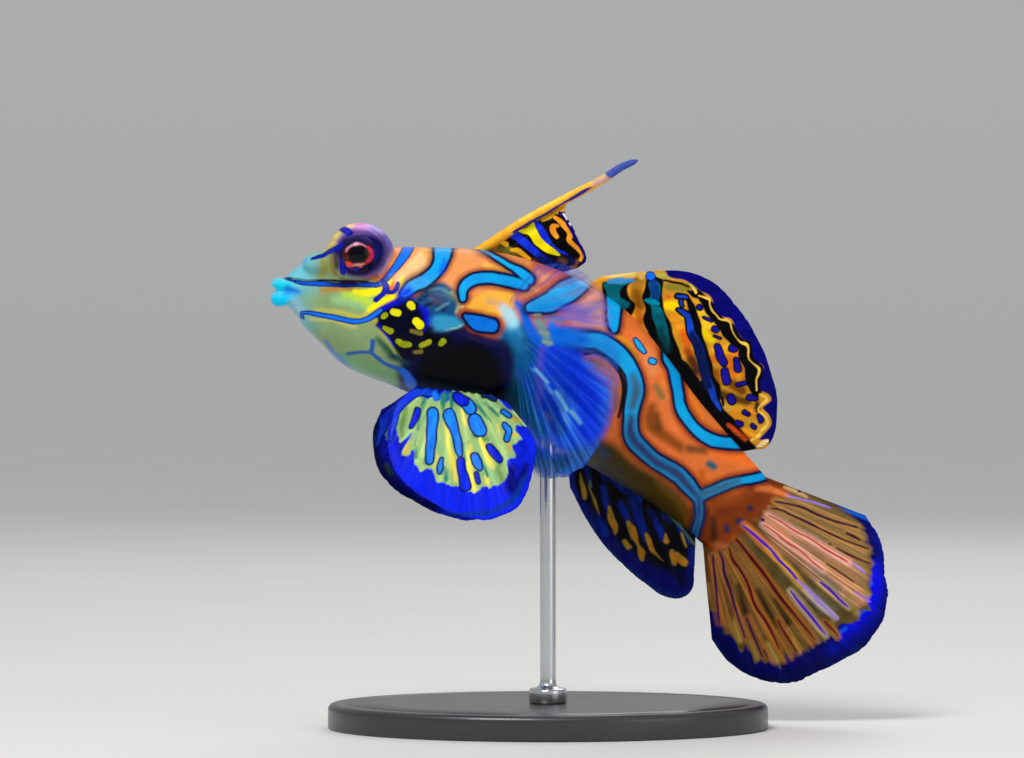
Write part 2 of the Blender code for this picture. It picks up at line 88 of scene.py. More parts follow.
# Meshes
def meshObject(name, spots, faces, bakeMap=None):
    # bakeMap gives the place of each face's corners on the map that the export bakes to
    mesh = bpy.data.meshes.new(name)
    faces = np.asarray(faces, dtype=np.int32)
    mesh.vertices.add(len(spots))
    mesh.vertices.foreach_set("co", np.asarray(spots, dtype=np.float32).ravel())
    mesh.loops.add(faces.size)
    mesh.loops.foreach_set("vertex_index", faces.ravel())
    mesh.polygons.add(len(faces))
    sides = faces.shape[1]
    mesh.polygons.foreach_set("loop_start", np.arange(0, faces.size, sides, dtype=np.int32))
    mesh.polygons.foreach_set("loop_total", np.full(len(faces), sides, dtype=np.int32))
    if bakeMap is not None:
        layer = mesh.uv_layers.new(name="OFBake")
        layer.data.foreach_set("uv", bakeMap.astype(np.float32).ravel())
    mesh.update(calc_edges=True)
    mesh.validate()
    mesh.shade_smooth()
    obj = bpy.data.objects.new(name, mesh)
    bpy.context.scene.collection.objects.link(obj)
    return obj


def gridFaces(rows, columns, wrap=False):
    # the quads between rows of equally many points
    r = np.arange(rows - 1)[:, None]
    c = np.arange(columns if wrap else columns - 1)[None, :]
    right = (c + 1) % columns
    start, end = r * columns, (r + 1) * columns
    quads = np.stack((start + c, start + right, end + right, end + c), axis=-1)
    return quads.reshape(-1, 4)


def attribute(obj, name, values):
    layer = obj.data.attributes.new(name, "FLOAT", "POINT")
    layer.data.foreach_set("value", np.asarray(values, dtype=np.float32))


def points(obj):
    found = np.empty(len(obj.data.vertices) * 3, dtype=np.float32)
    obj.data.vertices.foreach_get("co", found)
    return found.reshape(-1, 3).astype(float)


# Painted marks, drawn in the photo's pixels. A stroke is a path of (x, y, width), and an area is an outline
# of (x, y). Up to markReach pixels from a mark its distance is measured, and beyond that it is farOff.
markReach, farOff = 34, 30.0


def smoothPath(path, closed=False, parts=5):
    rows = np.array(path, float)
    if len(rows) < 3:
        return rows
    if closed:
        rows = np.vstack((rows[-2:], rows, rows[:2]))
    at = curveThrough(np.arange(len(rows)), rows)
    start, end = (2, len(rows) - 2) if closed else (0, len(rows) - 1)
    return at(np.linspace(start, end, (end - start) * parts + 1))


def strokeDistance(spots, path):
    rows = smoothPath(path)
    if len(rows) == 1:
        rows = np.vstack((rows, rows + [0.01, 0, 0]))
    nearest = np.full(len(spots), 1e3)
    for a, b in zip(rows, rows[1:]):
        run = b[:2] - a[:2]
        share = np.clip((spots - a[:2]) @ run / max(run @ run, 1e-9), 0, 1)
        gap = np.linalg.norm(spots - a[:2] - share[:, None] * run, axis=1)
        np.minimum(nearest, gap - (a[2] + (b[2] - a[2]) * share) / 2, out=nearest)
    return nearest


def areaDistance(spots, outline):
    rows = smoothPath(outline, True)[:, :2]
    nearest = np.full(len(spots), 1e3)
    inside = np.zeros(len(spots), bool)
    for a, b in zip(rows, np.roll(rows, -1, axis=0)):
        run = b - a
        share = np.clip((spots - a) @ run / max(run @ run, 1e-9), 0, 1)
        np.minimum(nearest, np.linalg.norm(spots - a - share[:, None] * run, axis=1), out=nearest)
        crosses = (a[1] > spots[:, 1]) != (b[1] > spots[:, 1])
        with np.errstate(divide="ignore", invalid="ignore"):
            reach = a[0] + (spots[:, 1] - a[1]) * run[0] / (run[1] if run[1] else 1e-9)
        inside ^= crosses & (spots[:, 0] < reach)
    return np.where(inside, -nearest, nearest)


def marksDistance(spots, marks):
    # the signed distance to the nearest of several marks, negative inside one
    found = np.full(len(spots), farOff)
    for mark in marks:
        rows = np.array(mark, float)
        low, high = rows[:, :2].min(axis=0) - markReach, rows[:, :2].max(axis=0) + markReach
        near = np.all((spots > low) & (spots < high), axis=1)
        if not near.any():
            continue
        measure = strokeDistance if rows.shape[1] == 3 else areaDistance
        found[near] = np.minimum(found[near], measure(spots[near], mark))
    return found


def wander(spots, amount, size=9.0):
    # a gentle waver, so that painted edges aren't ruled
    x, y = spots[:, 0] / size, spots[:, 1] / size
    shift = np.stack((np.sin(1.7 * y + 1.3 * np.sin(x)), np.sin(1.9 * x + 1.1 * np.sin(1.3 * y + 2))), axis=1)
    return spots + amount * shift


# Materials
def rgb(r, g, b):
    # a colour named by its screen values, for a shader
    parts = [v / 255 for v in (r, g, b)]
    return tuple(v / 12.92 if v <= 0.04045 else ((v + 0.055) / 1.055) ** 2.4 for v in parts) + (1.0,)


class Wire:
    # a socket in a material's graph, with arithmetic
    def __init__(self, graph, socket):
        self.graph, self.socket = graph, socket

    def math(self, operation, *others, clamp=False):
        return self.graph.node("ShaderNodeMath", {"operation": operation, "use_clamp": clamp}, self, *others)

    def __add__(self, other):
        return self.math("ADD", other)

    __radd__ = __add__

    def __mul__(self, other):
        return self.math("MULTIPLY", other)

    __rmul__ = __mul__

    def __sub__(self, other):
        return self.math("SUBTRACT", other)

    def __rsub__(self, other):
        return self.graph.node("ShaderNodeMath", {"operation": "SUBTRACT"}, other, self)

    def __truediv__(self, other):
        return self.math("DIVIDE", other)

    def clamp(self):
        return self.math("MULTIPLY", 1.0, clamp=True)

    def within(self, soft):
        # 1 where this distance is inside a mark, 0 where it is outside, and a ramp between
        return ((0.0 - self) / soft + 0.5).clamp()

    def between(self, low, high):
        settings = {"interpolation_type": "SMOOTHSTEP"}
        return self.graph.node("ShaderNodeMapRange", settings, self, low, high, 0.0, 1.0)


class Graph:
    def __init__(self, name):
        self.material = bpy.data.materials.new(name)
        self.material.use_nodes = True
        self.tree = self.material.node_tree
        self.shader = self.tree.nodes["Principled BSDF"]
        self.place = self.node("ShaderNodeTexCoord", {}, output="Object")

    def node(self, kind, settings, *values, output=0):
        made = self.tree.nodes.new(kind)
        for key, value in settings.items():
            setattr(made, key, value)
        free = [socket for socket in made.inputs if socket.enabled]
        for socket, value in zip(free, values):
            if value is not None:
                self.give(socket, value)
        if isinstance(output, int):
            output = [socket for socket in made.outputs if socket.enabled][output].name
        return Wire(self, made.outputs[output])

    def give(self, socket, value):
        if isinstance(value, Wire):
            self.tree.links.new(value.socket, socket)
        else:
            socket.default_value = value

    def mix(self, low, high, mask, blend="MIX"):
        made = self.tree.nodes.new("ShaderNodeMix")
        made.data_type, made.blend_type = "RGBA", blend
        for slot, value in ((0, mask), (6, low), (7, high)):
            self.give(made.inputs[slot], value)
        return Wire(self, made.outputs[2])

    def shade(self, colour, tint, mask=1.0):
        # multiplies a colour by a tint where the mask is 1
        return self.mix(colour, tint, mask, "MULTIPLY")

    def read(self, name):
        return self.node("ShaderNodeAttribute", {"attribute_name": name}, output="Fac")

    def colour(self, name):
        return self.node("ShaderNodeAttribute", {"attribute_name": name}, output="Color")

    def noise(self, size, detail=3.0):
        # clouds of the given size in millimetres, from 0 to 1
        return self.node("ShaderNodeTexNoise", {}, self.place, 1000.0 / size, detail, 0.55)

    def bump(self, height, depth, strength):
        return self.node("ShaderNodeBump", {}, strength, depth * mm, None, height, output="Normal")

    def finish(self, colour, rough, normal, alpha=None, **fixed):
        self.give(self.shader.inputs["Base Color"], colour)
        self.give(self.shader.inputs["Roughness"], rough)
        self.give(self.shader.inputs["Normal"], normal)
        if alpha is not None:
            self.give(self.shader.inputs["Alpha"], alpha)
        for name, value in fixed.items():
            self.shader.inputs[name.replace("_", " ")].default_value = value
        return self.material


wetCoat = {"Coat_Weight": 0.05, "Coat_Roughness": 0.1, "Specular_IOR_Level": 0.05}
finCoat = {"Coat_Weight": 0.02, "Coat_Roughness": 0.2, "Specular_IOR_Level": 0.04}


def dress(obj, material, slot, *replaced):
    obj.data.materials.clear()
    obj.data.materials.append(material)
    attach(obj, "root")
    if replaced:
        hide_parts(*replaced)


# The body, in sections along the backbone: x, z, y, rise, drop and half width in millimetres
print("body")
sections = [
    (-26.3, 43.8, -0.6, 1.2, 1.4, 1.3),
    (-24.3, 43.7, -0.5, 3.0, 3.0, 2.4),
    (-21.8, 43.0, -0.4, 4.4, 4.4, 3.7),
    (-18.8, 42.2, -0.3, 5.9, 6.2, 4.9),
    (-14.8, 41.4, -0.2, 6.8, 7.1, 5.8),
    (-10.8, 40.7, -0.1, 7.4, 7.9, 6.3),
    (-6.8, 40.0, 0.0, 7.8, 8.2, 6.4),
    (-2.8, 38.8, 0.0, 7.9, 8.1, 6.2),
    (0.5, 37.3, 0.0, 7.9, 8.0, 5.8),
    (3.5, 35.6, 0.1, 7.5, 7.9, 5.2),
    (7.2, 32.6, 0.4, 6.6, 7.3, 4.4),
    (10.7, 29.3, 0.9, 5.7, 6.2, 3.6),
    (14.2, 26.1, 1.7, 5.1, 5.3, 2.7),
    (16.9, 23.6, 2.5, 4.8, 4.9, 1.9),
    (19.0, 21.5, 3.1, 4.6, 4.7, 1.0),
]
squareness, lowWidth = 2.25, 0.12
eye = {"x": -18.7, "z": 47.25, "apart": 2.7, "mound": (3.35, 3.3, 3.2), "ball": 2.15, "out": 1.6,
       "aside": -0.3, "lidOut": 2.45, "lidRadius": 2.36, "lidTube": 0.22}
brow = {"at": (-21.9, 2.3, 46.4), "radii": (2.6, 1.8, 1.3), "around": (2.9, 1.4), "softness": 0.3}
lips = {"reach": 1.0, "half": 1.15, "sweep": 105, "back": -26.0, "aside": -0.6,
        "upper": (44.42, 0.62), "lower": (42.86, 0.76)}
flap = {"at": 16.6, "angle": 84, "radii": (2.1, 0.16, 1.7), "around": 3.4, "lift": 0.26,
        "soft": 1.6, "fadeAcross": (416, 452), "fadeDown": (292, 316),
        "edge": [(418, 290), (436, 286), (454, 291), (464, 302), (467, 314), (465, 326), (446, 331),
                 (428, 331), (420, 318)]}
lobe = {"at": 23.6, "angle": 84, "radii": (1.3, 0.45, 2.4), "around": 3.0}
nostril = {"at": 3.0, "angle": 42, "radius": 0.34, "rim": 0.2, "pit": 0.22}
mouthCorner = {"at": (290.5, 291), "radii": (6, 2.4), "depth": 0.28}
stem = {"past": 2.2, "thinner": 0.75, "rings": 8}
smoothing = {"rounds": 4, "share": 0.6, "creaseRounds": 40, "creaseWidth": 0.7, "formRounds": 80}
skinGrain = 0.177 * mm
overrun = 2.5 * mm

table = np.array(sections, float)
spine = table[:, [0, 2, 1]] * mm
knots = np.concatenate(([0], np.cumsum(np.linalg.norm(np.diff(spine, axis=0), axis=1))))
bodyLength = knots[-1]
centreAt = curveThrough(knots, spine)
sizeAt = curveThrough(knots, table[:, 3:] * mm)


def axesAt(distance):
    step = 0.05 * mm
    along = unit(centreAt(distance + step) - centreAt(distance - step))
    flat = np.stack((-along[:, 2], np.zeros(len(along)), along[:, 0]), axis=1)
    left = unit(np.cross(along, flat))
    return along, np.cross(left, along), left


def skinPoints(distance, angle):
    distance, angle = np.atleast_1d(distance).astype(float), np.atleast_1d(angle).astype(float)
    distance, angle = np.broadcast_arrays(distance, angle)
    _, up, left = axesAt(distance)
    rise, drop, half = sizeAt(distance).T
    height = np.sign(np.cos(angle)) * np.abs(np.cos(angle)) ** (2 / squareness)
    width = np.sign(np.sin(angle)) * np.abs(np.sin(angle)) ** (2 / squareness)
    reach = np.where(height > 0, rise, drop)
    side = width * half * (1 - lowWidth * height)
    return centreAt(distance) + up * (height * reach)[:, None] + left * side[:, None]


def closedLoft(rings):
    # the triangles of a closed body through rings of points, each end drawn to its middle
    count, around = len(rings), len(rings[0])
    spots = np.vstack([*rings, rings[0].mean(axis=0), rings[-1].mean(axis=0)])
    quads = gridFaces(count, around, True)
    tris = np.vstack((quads[:, [0, 1, 2]], quads[:, [0, 2, 3]]))
    a, b = np.arange(around), (np.arange(around) + 1) % around
    first = np.stack((b, a, np.full(around, count * around)), axis=1)
    last = (count - 1) * around
    second = np.stack((last + a, last + b, np.full(around, count * around + 1)), axis=1)
    return spots, np.vstack((tris, first, second))


def blob(centre, radii, axes=np.eye(3), rows=24):
    turn = np.linspace(0, math.tau, rows * 2, endpoint=False)
    rings = []
    for tilt in np.linspace(0.02, math.pi - 0.02, rows):
        flat, high = np.sin(tilt), np.full(len(turn), np.cos(tilt))
        ring = np.stack((flat * np.cos(turn), flat * np.sin(turn), high), axis=1)
        rings.append(centre + (ring * radii) @ axes)
    return closedLoft(rings)


def pipe(path, radii, around=20):
    rings = []
    ways = unit(np.gradient(path, axis=0))
    turn = np.linspace(0, math.tau, around, endpoint=False)
    for spot, way, radius in zip(path, ways, radii):
        guide = np.array([0, 0, 1.0]) if abs(way[2]) < 0.9 else np.array([0, 1.0, 0])
        side = unit(np.cross(way, guide))
        other = np.cross(way, side)
        rings.append(spot + radius * (np.cos(turn)[:, None] * side + np.sin(turn)[:, None] * other))
    return closedLoft(rings)


def onSkin(form, side):
    # the middle and the axes of a form that lies on the skin
    at, angle = form["at"] * mm, math.radians(form["angle"]) * side
    middle = skinPoints(at, angle)[0]
    along = axesAt(at)[0][0]
    lift = skinPoints(at, angle - 0.1)[0] - skinPoints(at, angle + 0.1)[0]
    outward = unit(np.cross(along, lift))
    if outward @ (middle - centreAt(at)[0]) < 0:
        outward = -outward
    return middle, np.array([along, outward, np.cross(along, outward)])


def moundCentre(side):
    return np.array([eye["x"], -side * eye["apart"] + eye["aside"], eye["z"]]) * mm


def ballCentre(side):
    return moundCentre(side) + np.array([0, -side * eye["out"] * mm, 0])


def browCentre(side):
    x, y, z = brow["at"]
    return np.array([x, -side * y, z]) * mm


def lipPath(height, thick):
    share = np.linspace(-1, 1, 41)
    turn = math.radians(lips["sweep"]) * share
    x = lips["back"] - lips["reach"] * np.cos(turn)
    y = lips["half"] * np.sin(turn) + lips["aside"]
    path = np.stack((x, y, np.full(len(turn), height)), axis=1) * mm
    return pipe(path, thick * (1 - 0.25 * np.abs(share) ** 3) * mm)


def lidRing(side):
    turn = np.linspace(0, math.tau, 61)
    middle = moundCentre(side) + np.array([0, -side * eye["lidOut"], 0]) * mm
    ring = np.stack((np.cos(turn), np.zeros(len(turn)), np.sin(turn)), axis=1)
    path = ring * eye["lidRadius"] * mm + middle
    return pipe(path, np.full(len(turn), eye["lidTube"] * mm), 12)


def fleshForms():
    # the closed forms that the skin grows over, all in one mesh
    around = 160
    turn = np.linspace(0, math.tau, around, endpoint=False)
    rings = [skinPoints(np.full(around, d), turn) for d in np.linspace(0, bodyLength, 220)]
    end, middle = rings[-1], centreAt(bodyLength)[0]
    tip, _, left = (axis[0] for axis in axesAt(bodyLength))
    for n in range(1, stem["rings"] + 1):  # past the last section the stem thins into the tail fin
        share = n / stem["rings"]
        ring = end + tip * stem["past"] * mm * share
        sideways = (ring - middle) @ left
        rings.append(ring - left * (sideways * (stem["thinner"] * share))[:, None])
    forms = [closedLoft(rings)]
    for side in (1, -1):
        forms.append(blob(moundCentre(side), np.array(eye["mound"]) * mm, rows=32))
        forms.append(lidRing(side))
        forms.append(blob(browCentre(side), np.array(brow["radii"]) * mm))
        for form in (flap, lobe):
            middle, axes = onSkin(form, side)
            radii = np.array(form["radii"]) * mm
            forms.append(blob(middle, radii[[0, 2, 1]], axes[[0, 2, 1]]))
    forms += [lipPath(*lips["upper"]), lipPath(*lips["lower"])]
    spots, faces, start = [], [], 0
    for formSpots, formFaces in forms:
        spots.append(formSpots)
        faces.append(formFaces + start)
        start += len(formSpots)
    return np.vstack(spots), np.vstack(faces)


def closedObject(name, spots, faces):
    # an object whose faces look outwards
    obj = meshObject(name, spots, faces)
    work = bmesh.new()
    work.from_mesh(obj.data)
    bmesh.ops.recalc_face_normals(work, faces=work.faces)
    work.to_mesh(obj.data)
    work.free()
    return obj


def neighbourMeans(obj):
    edges = np.empty(len(obj.data.edges) * 2, dtype=np.int32)
    obj.data.edges.foreach_get("vertices", edges)
    a, b = edges.reshape(-1, 2).T
    count = len(obj.data.vertices)
    ends, others = np.concatenate((a, b)), np.concatenate((b, a))
    degree = np.maximum(np.bincount(ends, minlength=count), 1)[:, None]

    def means(values):
        sums = [np.bincount(ends, values[others, i], count) for i in range(values.shape[1])]
        return np.stack(sums, axis=1) / degree

    return means


def backbonePlaces(spots):
    # for each point: its distance along the backbone, its height above it and its way to the left
    distances = np.linspace(-overrun, bodyLength + overrun, 420)
    within = np.clip(distances, 0, bodyLength)
    along, up, left = axesAt(within)
    line = centreAt(within) + along * (distances - within)[:, None]
    nearest = np.empty(len(spots), dtype=int)
    block = 20000
    for start in range(0, len(spots), block):
        part = spots[start:start + block]
        nearest[start:start + block] = ((part[:, None, :] - line[None]) ** 2).sum(axis=2).argmin(axis=1)
    away = spots - line[nearest]
    distance = distances[nearest] + (away * along[nearest]).sum(axis=1)
    height, leftward = (away * up[nearest]).sum(axis=1), (away * left[nearest]).sum(axis=1)
    return distance, height, leftward, left[nearest]


def relax(spots, means, rounds, share):
    # draws points towards the mean of their neighbours
    for _ in range(rounds):
        spots = spots + share * (means(spots) - spots)
    return spots


def buildSkin():
    rough = closedObject("rough", *fleshForms())
    grown = rough.modifiers.new("grow", "REMESH")
    grown.mode = "VOXEL"
    grown.voxel_size = skinGrain
    bpy.context.view_layer.update()
    mesh = bpy.data.meshes.new_from_object(rough.evaluated_get(bpy.context.evaluated_depsgraph_get()))
    bpy.data.objects.remove(rough)
    skin = bpy.data.objects.new("skin", mesh)
    bpy.context.scene.collection.objects.link(skin)
    means = neighbourMeans(skin)
    spots = relax(points(skin), means, smoothing["rounds"], 0.5)
    mounds = []
    for side in (1, -1):
        away = np.linalg.norm((spots - moundCentre(side)) / np.array(eye["mound"]) / mm, axis=1)
        mounds.append(np.abs(away - 1) * eye["mound"][1])
    distance, height, leftward, _ = backbonePlaces(spots)
    size = sizeAt(np.clip(distance, 0, bodyLength))
    reach = np.where(height > 0, size[:, 0], size[:, 1])
    ratio = np.abs(height / reach) ** squareness + np.abs(leftward / size[:, 2]) ** squareness
    shell = np.abs(ratio ** (1 / squareness) - 1) * reach / mm
    gap = np.maximum(np.min(mounds, axis=0), shell)
    crease = smoothing["share"] * np.exp(-(gap / smoothing["creaseWidth"]) ** 2)[:, None]
    spots = relax(spots, means, smoothing["creaseRounds"], crease)  # the mounds grow softly out of the head
    soft = np.zeros(len(spots))
    for side in (1, -1):
        for form in (flap, lobe):
            away = np.linalg.norm(spots - onSkin(form, side)[0], axis=1) / mm
            soft = np.maximum(soft, softStep(form["around"], form["around"] * 0.6, away))
        away = np.linalg.norm(spots - browCentre(side), axis=1) / mm
        soft = np.maximum(soft, brow["softness"] * softStep(*brow["around"], away))
    return skin, relax(spots, means, smoothing["formRounds"], smoothing["share"] * soft[:, None])


skin, skinSpots = buildSkin()
print("skin", len(skin.data.polygons))


def skinPlaces(spots):
    # where the skin's points show in the photo; the far side takes the places of its twins on the near side
    distance, height, leftward, left = backbonePlaces(spots)
    twins = spots + left * (np.abs(leftward) - leftward)[:, None]
    return seen(twins), distance, np.arctan2(leftward, height)


def carveSkin():
    # the free edge of each gill cover, the nostrils and the corners of the mouth
    skin.data.vertices.foreach_set("co", skinSpots.astype(np.float32).ravel())
    skin.data.update()
    normals = np.empty(len(skinSpots) * 3, dtype=np.float32)
    skin.data.vertices.foreach_get("normal", normals)
    normals = normals.reshape(-1, 3)
    places, _, turn = skinPlaces(skinSpots)
    sideways = np.abs(turn) > 0.5
    lift = flap["lift"] * softStep(flap["soft"], -flap["soft"], areaDistance(places, flap["edge"]))
    lift = lift * softStep(*flap["fadeAcross"], places[:, 0]) * softStep(*flap["fadeDown"], places[:, 1])
    lift = np.where(sideways, lift, 0.0)
    for side in (1, -1):
        nose = skinPoints(nostril["at"] * mm, side * math.radians(nostril["angle"]))[0]
        away = np.linalg.norm(skinSpots - nose, axis=1) / mm
        lift = lift + nostril["rim"] * np.exp(-((away - nostril["radius"]) / 0.16) ** 2)
        lift = lift - nostril["pit"] * np.exp(-(away / 0.2) ** 2)
    corner = np.linalg.norm((places - mouthCorner["at"]) / mouthCorner["radii"], axis=1)
    lift = lift - mouthCorner["depth"] * np.exp(-corner**2) * sideways
    return skinSpots + normals * (lift * mm)[:, None]


def finishSkin():
    skin.data.vertices.foreach_set("co", skinSpots.astype(np.float32).ravel())
    places, distance, turn = skinPlaces(skinSpots)
    along = (distance + overrun) / (bodyLength + 2 * overrun) * 0.98 + 0.01
    across = turn / math.tau + 0.5
    corners = np.empty(len(skin.data.loops), dtype=np.int32)
    skin.data.loops.foreach_get("vertex_index", corners)
    v = across[corners].reshape(-1, 4)
    wraps = (v.max(axis=1) - v.min(axis=1) > 0.5)[:, None]
    v = np.where(wraps & (v < 0.5), v + 1, v).ravel() * 0.97
    layer = skin.data.uv_layers.new(name="OFBake")
    layer.data.foreach_set("uv", np.stack((along[corners], v), axis=1).astype(np.float32).ravel())
    skin.data.shade_smooth()
    return places


def zoneValues(spots, base, zones):
    # soft-edged zones of a colour or a number, each over the ones before
    found = np.tile(np.atleast_1d(base)[:3].astype(float), (len(spots), 1))
    for value, soft, *marks in zones:
        share = softStep(soft, -soft, marksDistance(spots, marks))[:, None]
        found = found * (1 - share) + np.atleast_1d(value)[:3] * share
    return found


def zoneColour(obj, name, spots, base, zones):
    layer = obj.data.attributes.new(name, "FLOAT_COLOR", "POINT")
    zones = [(rgb(*colour), *rest) for colour, *rest in zones]
    colour = np.hstack((zoneValues(spots, base, zones), np.ones((len(spots), 1))))
    layer.data.foreach_set("color", colour.astype(np.float32).ravel())


def paint(name, colour, marks, **more):
    # a layer of marks. Colours are screen values; rim is a colour and its width, core a colour and its reach,
    # and halo a tint, its reach and its strength
    return {"name": name, "colour": colour, "marks": marks, **more}


def paintMarks(obj, spots, layers):
    for layer in layers:
        attribute(obj, layer["name"], marksDistance(spots, layer["marks"]))


def paintedColour(graph, layers, waver, fray=None, fine=1.0):
    # the ground under every layer of marks, each with the halo, rim, clouds and core that it names
    colour = graph.colour("ground")
    shift = (graph.noise(0.5) - 0.5) * waver + (graph.noise(1.7, 1.0) - 0.5) * (waver * 2)
    for layer in layers:
        depth = graph.read(layer["name"]) + shift
        if "fray" in layer:
            depth = depth + fray * layer["fray"]
        soft = layer.get("soft", 1.0)
        if "halo" in layer:
            tint, reach, strength = layer["halo"]
            colour = graph.shade(colour, tint, (1.0 - depth.between(0.0, reach)) * strength)
        if "rim" in layer:
            tint, width = layer["rim"]
            colour = graph.mix(colour, rgb(*tint), depth.within(soft))
            depth = depth + width
        inner = rgb(*layer["colour"])
        if "deep" in layer:  # a second colour, which comes in clouds
            blend = (graph.noise(layer.get("cloud", 2.5)) * 1.6 - 0.3).clamp()
            inner = graph.mix(inner, rgb(*layer["deep"]), blend)
        if "core" in layer:
            tint, reach = layer["core"]
            inner = graph.mix(inner, rgb(*tint), (0.0 - depth).between(0.0, reach))
        share = depth.within(soft)
        if "fine" in layer:
            share = share * (fine * layer["fine"] + (1.0 - layer["fine"]))
        colour = graph.mix(colour, inner, share)
    return colour


